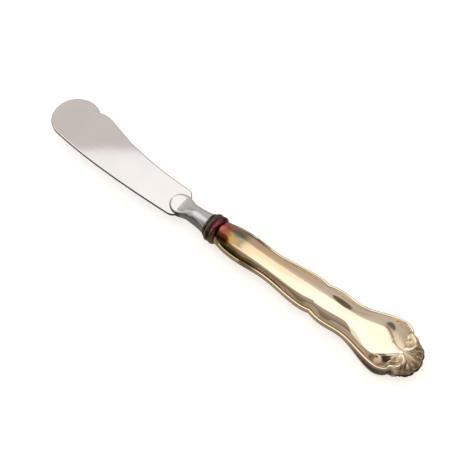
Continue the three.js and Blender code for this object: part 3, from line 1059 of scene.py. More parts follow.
    def _fan_edge(self, angle: Array) -> Array:
        """The fan's scalloped edge: an ellipse about the fan's centre, cut in between the flutes.

        Args:
            angle: Angles from the handle's axis.

        Returns:
            The points of the edge.
        """
        cut = self.fan_scallop * (1 - self.flute(angle))
        x = self.fan_centre + (self.fan_length - cut) * np.cos(angle)
        return np.stack([x, (self.fan_width / 2 - cut) * np.sin(angle)], axis=1)

    @staticmethod
    def _turn(point: Array, start: Array, end: Array, count: int) -> tuple[Array, Array]:
        """Stations on a cusp.

        Args:
            point: The cusp.
            start: The way inwards before it.
            end: The way inwards after it.
            count: Number of stations.

        Returns:
            The same point for each station, and ways inwards that turn from start to end.
        """
        first = math.atan2(start[1], start[0])
        sweep = (math.atan2(end[1], end[0]) - first + math.pi) % (2 * math.pi) - math.pi
        angle = first + sweep * np.linspace(0, 1, count + 2)[1:-1]
        return np.repeat(point[None], count, axis=0), np.stack([np.cos(angle), np.sin(angle)], axis=1)

    def rim(self) -> RimLine:
        """Stations round one side: the two lengths of side, the end of the lobe, and the fan.

        Returns:
            The stations, with the fan's corner softened and the feet spread beside the cusp.
        """
        angle = np.linspace(self.fan_opening, 0.0, self.fan_stations)
        fan = self._fan_edge(angle)
        fan[-1, 1] = 0.0
        fan_inward = unit(self.fan_middle - fan)
        corner = fan[0]
        turn = np.linspace(math.pi / 2, 0.0, self.end_stations)
        across, along = self.lobe_width / 2 - corner[1], corner[0] - self.lobe
        end = np.stack([self.lobe + along * np.cos(turn), corner[1] + across * np.sin(turn)], axis=1)
        end_inward = unit(-np.stack([across * np.cos(turn), along * np.sin(turn)], axis=1))
        first = self._side(0.0, self.cusp, self.front_stations)
        second = self._side(self.cusp, self.lobe, self.rear_stations)
        spans = [
            first,
            self._turn(first[0][-1], first[1][-1], second[1][0], self.cusp_stations),
            second,
            (end[1:], end_inward[1:]),
            self._turn(corner, end_inward[-1], fan_inward[0], self.corner_stations),
            (fan, fan_inward),
        ]
        points, inward = (np.concatenate(part) for part in zip(*spans))
        sides = len(points) - len(fan)
        joint = sides - self.corner_stations // 2
        points, inward = (self._soften(part, joint, *self.corner_softness) for part in (points, inward))
        in_fan = np.arange(len(points)) >= sides
        angles = np.concatenate([np.full(sides, self.fan_opening), angle])
        cusp = len(first[0]) + self.cusp_stations // 2
        feet = self._soften(points[:, :1], cusp, *self.cusp_softness)[:, 0]
        return RimLine(points, unit(inward), angles, in_fan, np.minimum(feet, self.fan_centre))

    @staticmethod
    def _spread(values: Array, width: float) -> Array:
        """Each row as a bell-weighted mean of the rows round it.

        Args:
            values: The rows.
            width: The bell's width, in rows.

        Returns:
            The means.
        """
        side = int(3 * width)
        weight = np.exp(-0.5 * (np.arange(-side, side + 1) / width) ** 2)
        padded = np.pad(values, ((side, side), (0, 0)), mode="edge")
        rows = np.lib.stride_tricks.sliding_window_view(padded, len(weight), axis=0)
        return rows @ (weight / weight.sum())

    @staticmethod
    def _soften(values: Array, middle: int, width: float, reach: float) -> Array:
        """Rows smoothed near one of them.

        Args:
            values: The rows.
            middle: The row to smooth about.
            width: Width of the bell that smooths, in rows.
            reach: How many rows away the values stay as they were.

        Returns:
            The rows.
        """
        smooth = HandleShell._spread(values, width)
        share = ease(reach - np.abs(np.arange(len(values)) - middle), 0.0, reach / 2)
        return mix(values, smooth, share[:, None])

    def _smoothed(self, rim: RimLine, inset: Array, height: Array) -> Array:
        """Heights inside the bead at the butt, smoothed: half of each and a quarter of each neighbour.

        Args:
            rim: The stations.
            inset: Distances in from the rim.
            height: Heights at them.

        Returns:
            The heights, with one height where the stations meet at the fan's centre.
        """
        smooth = height
        for _ in range(self.smooth_passes):
            rows = np.pad(smooth, ((1, 1), (0, 0)), mode="edge")
            smooth = (rows[:-2] + 2 * smooth + rows[2:]) / 4
            columns = np.pad(smooth, ((0, 0), (1, 1)), mode="reflect")
            smooth = (columns[:, :-2] + 2 * smooth + columns[:, 2:]) / 4
        at_butt = ease(rim.x, self.lobe - self.smooth_lead, self.lobe)[:, None]
        height = mix(height, smooth, at_butt * ease(inset, self.land, self.land + self.smooth_fade))
        meet = rim.foot >= self.fan_centre
        height[meet, -1] = height[meet, -1].mean()
        return height

    def _columns(self, rim: RimLine, reach: Array) -> tuple[Array, Array, Array]:
        """The beaded section at each station: wall, bead, quirk, hollow and panel.

        Args:
            rim: The stations.
            reach: Distance from each rim point to its foot.

        Returns:
            Distances in from the rim, heights, and how much grime and painted shade each point gets.
        """
        one = np.ones((len(reach), 1))
        crown = self.crown(rim.foot)[:, None]
        rise = ease(rim.x, self.grip, self.lobe)[:, None]
        top = mix(self.bead_height, self.butt_bead_height, rise)
        edge = np.minimum(self.panel(rim.foot)[:, None], (reach - self.land) * self.panel_limit)
        hollow = reach - self.land - edge
        sunk = 1 - mix(self.hollow_rise, self.butt_hollow_rise, rise)
        edge_height = mix(crown, top, np.minimum(1.0, 2 * edge / self.grip_panel) * sunk)
        slope = mix(self.hollow_slope, self.butt_hollow_slope, rise)
        wall = np.linspace(0, 1, self.wall_columns + 1)[None, :-1]
        turn = np.radians(np.linspace(180.0, self.bead_stop, self.bead_columns))[None]
        t = np.linspace(0, 1, self.hollow_columns + 2)[None, 1:-1]
        y = np.linspace(1, 0, self.panel_columns)[None]
        insets = [
            0 * one * wall,
            one * self.bead_radius * (1 + np.cos(turn)),
            one * self.land,
            self.land + hollow * t,
            reach - edge * y,
        ]
        heights = [
            mix(self.seam, top, wall),
            top + self.bead_radius * np.sin(turn),
            top - self.quirk,
            mix(top - self.quirk, edge_height, t * mix(slope, 1.0, t)),
            mix(crown, edge_height, y * y),
        ]
        shades = self._section_grime_and_shade(rim.x[:, None], rise, (wall, turn, t, y))
        return tuple(np.concatenate(part, axis=1) for part in (insets, heights, shades))

    def _section_grime_and_shade(self, x: Array, rise: Array, columns: tuple[Array, ...]) -> list[Array]:
        """Grime and painted shade over the beaded section: most in the quirk, and less up the hollow and
        down the sides.

        Args:
            x: Where the stations lie along the handle.
            rise: How far each is on from the grip to the lobes.
            columns: Shares up the wall, the bead's turn, and shares over the hollow and the panel.

        Returns:
            The grime and painted shade on wall, bead, quirk, hollow and panel.
        """
        wall, turn, t, y = columns
        front = 1 - ease(x, *self.front_end)
        past_stain = front * ease(x, *self.stain_end)
        tarnish = ease(x, *self.tarnish_start) * (1 - ease(x, *self.tarnish_end))
        middle = ease(x, *self.middle_start) * (1 - ease(x, *self.middle_end))
        side = mix(*self.side_grime_and_shade, rise) * ease(x, *self.side_start)
        inner = np.clip((np.cos(turn) - self.bead_inner) / (1 - self.bead_inner), 0, 1)
        outer = np.clip((-np.cos(turn) - self.bead_outer) / (1 - self.bead_outer), 0, 1)
        # painted shade on the bead's outer half, as if it mirrored the dim near side
        bead = np.maximum(inner, np.minimum(side, self.bead_outer_shade) * outer)
        hollow = (1 - self.middle_loss * middle) * (1 - t) ** self.hollow_fade
        return [
            # painted shade on the walls, heaviest at the butt where they stand under the lobes
            side * (1 - wall) ** self.side_fade,
            np.maximum(bead, self.tarnish_grime * tarnish),
            np.ones_like(x),
            np.maximum(hollow, front * mix(*self.front_levels, t)),
            # painted shade on the panel's edge just past the stain
            self.stain_panel_shade * past_stain * ease(y, *self.stain_panel),
        ]

    def _fan_grime_and_shade(self, inwards: Array, height: Array, valley: Array) -> Array:
        """Grime and painted shade over the fan: a little all over, more in its valleys and near its edge,
        most at its foot.

        Args:
            inwards: Shares of the way in from the fan's edge.
            height: Heights over the seam.
            valley: Depths between the ridges.

        Returns:
            The grime and painted shade.
        """
        outer = 1 - ease(inwards, *self.fan_clean)
        over = self.fan_grime_and_shade + self.fan_edge_grime_and_shade * outer
        between = (self.valley_grime_and_shade + self.valley_edge_grime_and_shade * outer) * valley
        return np.maximum(over + between, self.foot_grime_and_shade * (1 - ease(height, *self.foot_height)))

    def _hook(self, plan: Array) -> Array:
        """How far inside the scroll's hook a place lies: 1 in its middle, falling to 0 on an ellipse."""
        local = (plan - self.fan_middle) / self.fan_halves - np.array(self.hook_centre)
        return np.clip(1 - np.sum(local**2, axis=-1) / self.hook_radius**2, 0.0, 1.0)

    def _scroll(self, plan: Array, inset: Array, height: Array) -> Array:
        """Raises the scroll that hooks from the fan's corner in to its centre: a round bead along a curve.

        Args:
            plan: Points of the surface in plan.
            inset: Their distances in from the rim.
            height: Their heights.

        Returns:
            The heights, sunk inside the hook and raised to the bead where it is higher, but not on the wall.
        """
        height = height - self.hook_hollow * self._hook(plan) ** self.hook_bowl
        knots = np.array(self.scroll)
        level = mix(self.butt_bead_height, self.fan_height, np.sqrt(1 - np.sum(knots**2, axis=1)))
        across = self.fan_middle + knots * self.fan_halves
        curve = catmull(np.column_stack([across, level - self.scroll_sink]), self.scroll_points)
        radius = mix(self.scroll_radius, self.scroll_end_radius, np.linspace(0, 1, len(curve)))
        gap = np.linalg.norm(plan[..., None, :] - curve[:, :2], axis=-1)
        depth = np.maximum(radius**2 - gap**2, 0.0)
        bead = np.where(depth > 0, curve[:, 2] + np.sqrt(depth), -1.0).max(axis=-1)
        return mix(height, np.maximum(height, bead), ease(inset, 0.0, self.bead_radius))

    def _plan(self, rim: RimLine, inset: Array, reach: Array) -> Array:
        """Points in plan: straight in over the land, then on a parabola from there to the foot.

        Args:
            rim: The stations.
            inset: Distances in from the rim.
            reach: Distance from each rim point to its foot.

        Returns:
            The points.
        """
        landing = rim.landing(self.land)
        control = landing + rim.inward * self.land
        s = np.clip((inset - self.land) / (reach - self.land), 0, 1)[..., None]
        straight = rim.points[:, None] + rim.inward[:, None] * np.minimum(inset, self.land)[..., None]
        curved = (1 - s) ** 2 * landing[:, None] + 2 * s * (1 - s) * control[:, None]
        return np.where(inset[..., None] <= self.land, straight, curved + s**2 * rim.feet[:, None])

    def surface(self, back: bool) -> Surface:
        """The shell's outer skin over both sides, with the spigot that enters the ferrule.

        A point is its station's rim point moved in by its inset. Its height goes from a quarter round at the
        neck, through the beaded section, to a blunt quarter round cut by the ridges at the fan.

        Args:
            back: Whether to turn the shell over, for the underside.

        Returns:
            The surface.
        """
        rim = self.rim()
        reach = self.land + np.linalg.norm(rim.landing(self.land) - rim.feet, axis=1)[:, None]
        inset, height, shade = self._columns(rim, reach)
        fan = rim.in_fan[:, None]
        beside_fan = ease(rim.angle, self.fan_blend * self.fan_opening, self.fan_opening)[:, None]
        share = np.where(fan, beside_fan, ease(rim.x, 0.0, self.neck_blend)[:, None])
        turn = np.linspace(0, math.pi / 2, inset.shape[1])[None]
        power = np.where(fan, 2 / self.fan_bluntness, 1.0)
        crown = self.crown(rim.foot)[:, None]
        round_inset = reach * (1 - np.cos(turn) ** power)
        round_height = np.maximum(self.seam, crown * np.sin(turn) ** power)
        valley = np.where(fan, self.valley(rim.angle)[:, None] * (1 - share), 0.0) * np.sin(2 * turn)
        inset = mix(round_inset, inset, share)
        height = mix(round_height, height, share) * (1 - self.ridge_relief * valley)
        fan_shade = (1 - share) * self._fan_grime_and_shade(inset / reach, height, valley)
        plan = self._plan(rim, inset, reach)
        shade = np.maximum(shade * share, np.where(fan, fan_shade, 0.0))
        shade = np.maximum(shade, self.hook_grime_and_shade * self._hook(plan))
        edge = 1 - ease(inset, self.edge_start * self.land, self.land)
        ahead = np.maximum(plan[..., 0] - self.fan_centre, 0.0)
        height = height - np.where(fan, self.fan_slope * ahead * (inset / reach) * (1 - share), 0.0)
        height = self._smoothed(rim, inset, self._scroll(plan, inset, height))
        near = np.concatenate([plan, height[..., None]], axis=-1)
        near = np.concatenate([self._spigot(turn[0]), near])
        far = near[:, -2::-1] * np.array([1.0, -1.0, 1.0])
        points = np.concatenate([near, far], axis=1)
        if back:
            points = points * np.array([1.0, -1.0, -1.0])
        rows, columns = points.shape[:2]
        values = {"recess": self._both_sides(shade), "edge": self._both_sides(edge)}
        return Surface(points.reshape(-1, 3), grid_faces(rows, columns), values)

    @staticmethod
    def _both_sides(values: Array) -> Array:
        """Values of one side carried to both, after rows of 1 for the two ends of the spigot."""
        half = np.concatenate([np.ones((2, values.shape[1])), values])
        return np.concatenate([half, half[:, -2::-1]], axis=1)

    def _spigot(self, turn: Array) -> Array:
        """The two ends of the half-round spigot that goes into the ferrule.

        Args:
            turn: Angles up from the seam.

        Returns:
            A row of points for each end.
        """
        y = self.spigot_radius * np.cos(turn)
        z = np.maximum(self.seam, self.spigot_radius * np.sin(turn))
        ends = [np.stack([np.full_like(y, x), y, z], axis=1) for x in (-self.spigot_length, 0.0)]
        return np.stack(ends)

    def build(self, name: str, node: str, back: bool, silver: bpy.types.Material) -> bpy.types.Object:
        """Builds a shell with its wall, in place of a node of the frame.

        Args:
            name: Name of the piece.
            node: The node it stands for.
            back: Whether it is the underside.
            silver: Its finish.

        Returns:
            The piece.
        """
        made = self.surface(back).build(name, self.datum, silver)
        thick = made.modifiers.new("wall", "SOLIDIFY")
        thick.thickness = self.wall * MM
        thick.offset = -1.0
        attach(made, Body.KNIFE.value)
        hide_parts(node)
        return made


@dataclass
class Ferrule:
    """The ringed ferrule, turned about the handle's axis, in millimetres."""

    datum: Datum
    length: float = 4.85
    rear_radius: float = 4.2
    front_radius: float = 3.9
    front_bead_radius: float = 4.1
    front_bead_width: float = 0.85
    middle_bead_radius: float = 4.95
    middle_bead_width: float = 1.9
    rear_bead_radius: float = 5.0
    groove_radius: float = 4.55
    bead_shoulder: float = 0.12
    bead_points: int = 24
    lip: float = 1.6
    socket_radius: float = 3.7
    bore_radius: float = 2.9
    sides: int = 128

    def profile(self) -> Array:
        """The closed profile: three cubic beads outside and a socket inside.

        Returns:
            Places along the axis and radii.
        """
        front, shelf = -self.length, self.lip - self.length
        groove = front + self.front_bead_width
        ends = [front, groove, groove + self.middle_bead_width, 0.0]
        feet = [self.front_radius, self.front_radius, self.groove_radius, self.rear_radius]
        crests = [self.front_bead_radius, self.middle_bead_radius, self.rear_bead_radius]
        beads = []
        for a, b, start, stop, crest in zip(ends, ends[1:], feet, feet[1:], crests):
            rising = (mix(a, b, self.bead_shoulder), (4 * crest - start) / 3)
            falling = (mix(a, b, 1 - self.bead_shoulder), (4 * crest - stop) / 3)
            beads.append(bezier([(a, start), rising, falling, (b, stop)], self.bead_points)[:-1])
        inside = [
            (0.0, self.rear_radius),
            (0.0, self.socket_radius),
            (shelf, self.socket_radius),
            (shelf, self.bore_radius),
            (front, self.bore_radius),
        ]
        return np.concatenate([*beads, inside])

    def surface(self) -> Surface:
        """The profile carried round the axis: y and z are the radius times the turn's cosine and sine.

        Returns:
            The surface.
        """
        profile = self.profile()
        turn = np.linspace(0, 2 * math.pi, self.sides, endpoint=False)
        x = np.repeat(profile[:, :1], self.sides, axis=1)
        y, z = profile[:, 1:] * np.cos(turn), profile[:, 1:] * np.sin(turn)
        points = np.stack([x, y, z], axis=-1).reshape(-1, 3)
        return Surface(points, grid_faces(len(profile), self.sides, True, True)[:, ::-1], {})

    def build(self, finish: bpy.types.Material) -> bpy.types.Object:
        """Builds the ferrule in place of the frame's.

        Args:
            finish: Its finish.

        Returns:
            The piece.
        """
        made = self.surface().build("ringed_ferrule", self.datum, finish)
        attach(made, Body.KNIFE.value)
        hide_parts("ferrule")
        return made


@dataclass
class Blade:
    """The forged blade with its bolster and tang, in millimetres from the ferrule's front face."""

    datum: Datum
    ferrule_length: float = 4.85
    length: float = 71.95
    thickness: float = 1.2
    rounding: float = 0.35
    rounding_rows: int = 13
    face_inset: float = 1.5
    side_points: int = 220
    tip_points: int = 60
    tip_radius: float = 8.62
    tip_rise: float = 4.81
    tip_edge_turn: float = math.radians(80.0)
    tip_back_end: float = math.radians(24.0)
    tip_edge_end: float = math.radians(22.0)
    notch_from_tip: float = 13.75
    hump_length: float = 5.6
    hump_height: float = 12.5
    hump_round: float = 0.55
    hump_lead: float = 0.62
    dip_from_tip: float = 42.0
    dip_height: float = 7.0
    dip_leads: Pair = (0.5, 0.3)
    rise_middle: Pair = (0.5, 0.34)
    rise_lead: Pair = (0.86, 0.74)
    heel_at: float = 10.6
    heel_spine: float = 6.3
    heel_edge: float = 5.3
    heel_start: float = 0.85
    heel_corner: float = 3.2
    belly: float = 5.9
    belly_leads: Pair = (0.66, 0.3)
    heel_points: int = 30
    dip_points: int = 60
    rise_points: int = 40
    hump_points: int = 40
    belly_points: int = 90
    back_arc_points: int = 90
    edge_arc_points: int = 70
    base_diameter: float = 7.4
    waist_width: float = 6.1
    waist_at: float = 6.8
    flat_from: float = 0.75
    pad_radius: float = 3.9
    pad_at: float = 11.7
    pad_thickness: float = 2.6
    pad_square: float = 0.22
    line_width: float = 0.45
    line_reach: float = 1.5
    line_start: Pair = (8.6, 10.5)
    satin_end: float = 1.5
    flank_start: float = 2.4
    bolster_rows: int = 120
    bolster_crowding: float = 1.6
    bolster_sides: int = 96
    tang_length: float = 52.0
    tang_square: float = 0.15
    tang: Pair = (3.6, 2.4)
    tang_end: Pair = (2.4, 1.7)

    def outline(self, count: int) -> tuple[Array, Array]:
        """The back and the cutting edge from the heel to the tip: Bezier curves and the arc of the tip.

        Args:
            count: Number of points on each side.

        Returns:
            Points of the back and points of the edge, with distances from the ferrule first.
        """
        notch_turn = math.acos(1 - self.notch_from_tip / self.tip_radius)
        arc = self._arc(notch_turn, self.tip_back_end, self.back_arc_points)
        lower = self._arc(-self.tip_edge_turn, self.tip_edge_end, self.edge_arc_points)
        notch, start = arc[0], lower[0]
        hump, dip = notch[0] - self.hump_length, self.length - self.dip_from_tip
        corner, run = self.heel_at + self.heel_corner / 4, self.heel_at + self.heel_corner
        heel, foot = (run, self.heel_spine), (run, -self.heel_edge)
        before_dip = (mix(run, dip, self.dip_leads[0]), self.heel_spine)
        after_dip = (dip, mix(self.dip_height, self.heel_spine, self.dip_leads[1]))
        middle, lead = (
            (mix(dip, hump, along), mix(self.dip_height, self.hump_height, up))
            for along, up in (self.rise_middle, self.rise_lead))
        crest = (hump, self.hump_height - self.hump_round)
        over = (mix(hump, notch[0], self.hump_lead), self.hump_height + self.hump_round / 2)
        belly = [(mix(start[0], run, share), -self.belly) for share in self.belly_leads]
        back_start = (self.heel_at, self.pad_radius)
        edge_start = (self.heel_at, -self.pad_radius * self.heel_start)
        back = [
            bezier([back_start, (corner, self.heel_spine), heel], self.heel_points),
            bezier([heel, before_dip, after_dip, middle], self.dip_points),
            bezier([middle, lead, crest], self.rise_points),
            bezier([crest, over, notch], self.hump_points),
        ]
        edge = [
            bezier([edge_start, (corner, -self.heel_edge), foot], self.heel_points),
            bezier([foot, *belly, start], self.belly_points),
            lower,
        ]
        spine = resample(np.concatenate(back), count - self.tip_points)
        tip = resample(arc, self.tip_points + 1)[1:]
        return np.concatenate([spine, tip]), resample(np.concatenate(edge), count)

    def _arc(self, start: float, stop: float, count: int) -> Array:
        """Points of the tip's circle from one turn to another.

        Args:
            start: The first turn.
            stop: The last turn.
            count: Number of points.

        Returns:
            The points.
        """
        centre = np.array([self.length - self.tip_radius, self.tip_rise])
        turn = np.linspace(start, stop, count)
        return centre + self.tip_radius * np.stack([np.cos(turn), np.sin(turn)], axis=1)

    def plate(self) -> Surface:
        """The flat of the blade: its outline drawn in and lifted round a quarter circle at each face.

        Returns:
            The surface, with both faces bridged from the back to the edge.
        """
        back, edge = self.outline(self.side_points)
        loop = np.concatenate([back, edge[::-1]])
        along = np.roll(loop, -1, axis=0) - np.roll(loop, 1, axis=0)
        inward = unit(np.stack([along[:, 1], -along[:, 0]], axis=1))
        turn = np.radians(np.linspace(-90, 90, self.rounding_rows))
        half, face = self.thickness / 2, self.rounding * self.face_inset
        inset = np.concatenate([[face], self.rounding * (1 - np.cos(turn)), [face]])
        height = np.sign(turn) * (half - self.rounding) + self.rounding * np.sin(turn)
        height = np.concatenate([[-half], height, [half]])
        plan = loop[None] + inset[:, None, None] * inward[None]
        x = -self.ferrule_length - plan[..., 0]
        z = np.repeat(height[:, None], len(loop), axis=1)
        points = np.stack([x, plan[..., 1], z], axis=-1)
        rows, columns = points.shape[:2]
        sides = grid_faces(rows, columns, closed_columns=True)
        i = np.arange(len(back) - 1)
        rungs = np.stack([i, i + 1, columns - 2 - i, columns - 1 - i], axis=1)
        faces = np.concatenate([sides, rungs[:, ::-1], rungs + (rows - 1) * columns])
        # painted shade along the upright middle of the blade's rounded edge
        line = np.concatenate([[0.0], np.maximum(np.cos(turn), 0.0), [0.0]])
        return Surface(points.reshape(-1, 3), faces, {"line": np.repeat(line, columns)})

    def bolster(self) -> Surface:
        """The bolster, its round pad and the tang: superellipses carried along the axis.

        Half the width is a parabola from the base to the waist, a smooth step to the pad and then a circle.
        The section is round to the waist and eases from there to the flat of the pad. The tang is a tapered
        bar with nearly square corners.

        Returns:
            The surface.
        """
        end = self.pad_at + self.pad_radius
        along = end * (1 - (1 - np.linspace(0, 1, self.bolster_rows)) ** self.bolster_crowding)
        base, waist = self.base_diameter / 2, self.waist_width / 2
        neck = mix(waist, base, np.clip(1 - along / self.waist_at, 0, 1) ** 2)
        spread = mix(waist, self.pad_radius, ease(along, self.waist_at, self.pad_at))
        disc = np.sqrt(np.maximum(self.pad_radius**2 - (along - self.pad_at) ** 2, 0))
        half = np.select([along < self.waist_at, along < self.pad_at], [neck, spread], disc)
        flat = ease(along, self.waist_at * self.flat_from, self.pad_at)
        rise = mix(np.maximum(neck, waist), self.pad_thickness / 2, flat)
        square = mix(1.0, self.pad_square, ease(along, self.waist_at, self.pad_at))
        tail = self.tang_length - self.ferrule_length
        bars = np.array([
            [tail, 0.0, 0.0, self.tang_square],
            [tail, self.tang_end[0] / 2, self.tang_end[1] / 2, self.tang_square],
            [-self.ferrule_length, self.tang[0] / 2, self.tang[1] / 2, self.tang_square],
        ])
        sections = np.stack([-self.ferrule_length - along, half, rise, square], axis=1)
        rows = np.concatenate([bars, sections])
        turn = np.linspace(0, 2 * math.pi, self.bolster_sides, endpoint=False)
        power = rows[:, 3:]
        y = np.sign(np.cos(turn)) * np.abs(np.cos(turn)) ** power * rows[:, 1:2]
        z = np.sign(np.sin(turn)) * np.abs(np.sin(turn)) ** power * rows[:, 2:3]
        points = np.stack([np.repeat(rows[:, :1], len(turn), axis=1), y, z], axis=-1)
        ahead, wide = (np.concatenate([np.zeros(len(bars)), part])[:, None] for part in (along, half))
        beyond = self.pad_radius - np.hypot(y, ahead - self.pad_at)
        gap = np.where(ahead < self.pad_at, wide - np.abs(y), beyond)
        # painted shade round the pad, where it meets the blade
        line = np.clip(self.line_reach - gap / self.line_width, 0, 1) * ease(ahead, *self.line_start)
        # the satin zone: a real satin finish, and painted shade on its near half
        satin = (1 - ease(ahead, self.waist_at, self.pad_at - self.satin_end)) * np.ones_like(z)
        # where the painted shade of the bolster's near flank may fall
        flank = (1 - ease(ahead, self.pad_at - self.flank_start, self.pad_at)) * np.ones_like(z)
        values = {"satin": satin, "flank": flank, "line": line}
        return Surface(points.reshape(-1, 3), grid_faces(len(rows), len(turn), closed_columns=True), values)

    def build(self, steel: bpy.types.Material) -> list[bpy.types.Object]:
        """Builds the plate and the bolster in place of the frame's blade.

        Args:
            steel: Their finish.

        Returns:
            The two pieces.
        """
        made = [
            self.plate().build("blade_plate", self.datum, steel),
            self.bolster().build("bolster_and_tang", self.datum, steel),
        ]
        for piece in made:
            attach(piece, Body.KNIFE.value)
            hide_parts("blade")
        return made


# Studio


@dataclass
class Studio:
    """A pale floor, soft light all round and a camera at the photograph's angle."""

    datum: Datum
    azimuth: float = math.radians(38.095)
    elevation: float = math.radians(59.343)
    distance: float = 292.96
    target: Place = (-0.595, 2.993, 0.0)
    lens: float = 72.0
    sensor: float = 36.0
    nearest: float = 0.01
    floor_half: float = 5.0
    floor_points: int = 9
    floor_slope: float = 0.0065
    floor_touch: float = 0.0024
    floor_in_metal: float = 0.18
    paper: Colour = (0.46, 0.455, 0.45)
    paper_speck: Colour = (0.44, 0.435, 0.43)
    paper_speckle: float = 0.2
    paper_grain: float = 300.0
    paper_seen: Colour = (0.80, 0.775, 0.74)
    paper_glow: Colour = (1.0, 0.975, 0.945)
    paper_glow_strength: float = 2.7
    paper_glow_share: float = 0.25
    card_spot: Place = (46.2, 1.6, 4.0)
    card_way: Place = (1.10, 0.43, 1.0)
    card_halves: Pair = (5.8, 26.0)
    card_distance: float = 80.0
    card_rings: int = 7
    card_sides: int = 41
    card_dark: Colour = (0.34, 0.31, 0.30)
    card_speck: Colour = (0.42, 0.38, 0.36)
    card_grain: float = 400.0
    tent_radius: float = 4.0
    tent_half_turns: Pair = (-0.02, 0.5)
    tent_rows: int = 27
    tent_sides: int = 65
    tent_lowest: float = 0.002

    # Shades of the tent, with places in heights of a level ceiling: towards the far side and to the right
    softbox_far: float = 0.724
    softbox_middle: float = -0.10
    softbox_right: float = 0.48
    softbox_near: float = -0.20
    softbox_slant: float = 0.3
    softbox_power: float = 2.5
    softbox_edge: float = 0.97
    softbox_fade: Pair = (0.035, -0.035)
    soft_side: Pair = (0.0, 0.35)
    soft_loss: float = 0.65
    white: Colour = (1.31, 1.305, 1.30)
    white_near: Colour = (1.50, 1.50, 1.50)
    white_near_at: float = 0.05
    white_left: Colour = (0.95, 0.93, 0.92)
    white_left_side: Pair = (-0.45, -1.4)
    far_wall: Colour = (0.81, 0.76, 0.735)
    low_wall: Colour = (0.66, 0.63, 0.615)
    low_away: Pair = (0.9, 1.5)
    right_wall: Colour = (0.60, 0.565, 0.54)
    right_side: Pair = (0.1, 0.45)
    right_near: Colour = (1.02, 0.96, 0.90)
    right_near_side: Pair = (0.4, 0.5)
    right_near_away: Pair = (0.55, 0.25)
    bracket: Oval = (0.65, 0.58, 0.20, 0.14)
    bracket_shade: Colour = (0.16, 0.14, 0.15)
    bracket_fade: Pair = (1.25, 0.8)
    bar_inner: Pair = (1.0, 1.1)
    bar_outer: Pair = (1.4, 1.25)
    bar_side: Pair = (0.36, 0.44)
    bar_strength: float = 0.8
    near_side: Colour = (0.42, 0.385, 0.345)
    near_low: Colour = (0.25, 0.225, 0.20)
    near_low_from: Pair = (1.5, 9.0)
    near_fade: Pair = (0.05, -0.05)
    windows: tuple[Oval, ...] = ((-0.95, -0.25, 0.48, 0.56), (-0.95, 0.72, 0.50, 0.23))
    window_shade: Colour = (0.98, 0.92, 0.82)
    window_fade: Pair = (1.3, 0.7)
    camera_spots: tuple[Oval, ...] = ((-0.68, 0.36, 0.22, 0.19), (-1.42, -0.12, 0.22, 0.22))
    camera_shade: Colour = (0.045, 0.045, 0.055)
    camera_fade: Pair = (1.25, 0.85)

    @property
    def away(self) -> Place:
        """The level way from the camera to the far side."""
        return (-math.sin(self.azimuth), math.cos(self.azimuth), 0.0)

    @property
    def right(self) -> Place:
        """The level way to the camera's right."""
        return (math.cos(self.azimuth), math.sin(self.azimuth), 0.0)

    @property
    def back(self) -> Vector:
        """The way from the knife to the camera."""
        flat, up = math.cos(self.elevation), math.sin(self.elevation)
        return Vector((math.sin(self.azimuth) * flat, -math.cos(self.azimuth) * flat, up))

    def camera(self) -> None:
        """Makes the camera."""
        data = bpy.data.cameras.new("camera")
        data.lens = self.lens
        data.sensor_width = self.sensor
        data.clip_start = self.nearest
        made = bpy.data.objects.new("camera", data)
        bpy.context.scene.collection.objects.link(made)
        target = Vector(self.datum.place(np.array(self.target)))
        made.location = target + self.back * self.distance * MM
        made.rotation_mode = "QUATERNION"
        made.rotation_quaternion = (-self.back).to_track_quat("-Z", "Y")
        bpy.context.scene.camera = made

    def floor(self) -> None:
        """Makes the floor, which touches the ferrule and the butt: a plane that rises along the handle."""
        side = np.linspace(-self.floor_half, self.floor_half, self.floor_points)
        x, y = np.meshgrid(side, side, indexing="ij")
        z = self.floor_slope * (x - self.datum.x + self.floor_touch)
        points = self.datum.about(np.stack([x, y, z], axis=-1).reshape(-1, 3))
        faces = grid_faces(self.floor_points, self.floor_points)[:, ::-1]
        made = Surface(points, faces, {}).build("floor", self.datum, self._pale_paper())

    def _pale_paper(self) -> bpy.types.Material:
        """The floor's finish: a grey that lights the knife, and a brighter one where the floor is seen.

        Returns:
            The material.
        """
        paper = bpy.data.materials.new("pale_paper")
        graph = Graph(paper)
        light = graph.node("ShaderNodeLightPath", {}, {})
        camera, mirror, glass = (
            Signal(graph, light.outputs[f"Is {ray} Ray"]) for ray in ("Camera", "Glossy", "Transmission"))
        seen = camera.greatest(mirror.greatest(glass) * self.floor_in_metal)
        grain = graph.noise(graph.place(), self.paper_grain, detail=3.0)
        coats = ((grain * self.paper_speckle, self.paper_speck), (camera, self.paper_seen))
        matt = graph.matt(graph.layers(self.paper, coats))
        glow = graph.glow(self.paper_glow, self.paper_glow_strength)
        sockets = {0: seen * self.paper_glow_share, 1: matt, 2: glow}
        graph.end(graph.node("ShaderNodeMixShader", {}, sockets).outputs[0])
        return paper

    def tent(self) -> None:
        """Makes a light tent over the knife, which the camera looks through: half a sphere that glows."""
        rise, turn = np.meshgrid(
            np.linspace(*self.tent_half_turns, self.tent_rows) * math.pi,
            np.linspace(0, 2 * math.pi, self.tent_sides),
            indexing="ij",
        )
        flat = np.cos(rise)
        points = np.stack([flat * np.cos(turn), flat * np.sin(turn), np.sin(rise)], axis=-1)
        points = points.reshape(-1, 3) * self.tent_radius / MM
        cloth = bpy.data.materials.new("tent_cloth")
        graph = Graph(cloth)
        graph.end(graph.glow(self._tent_shades(graph), 1.0))
        faces = grid_faces(self.tent_rows, self.tent_sides)[:, ::-1]
        made = Surface(points, faces, {}).build("light_tent", self.datum, cloth)
        made.visible_camera = False

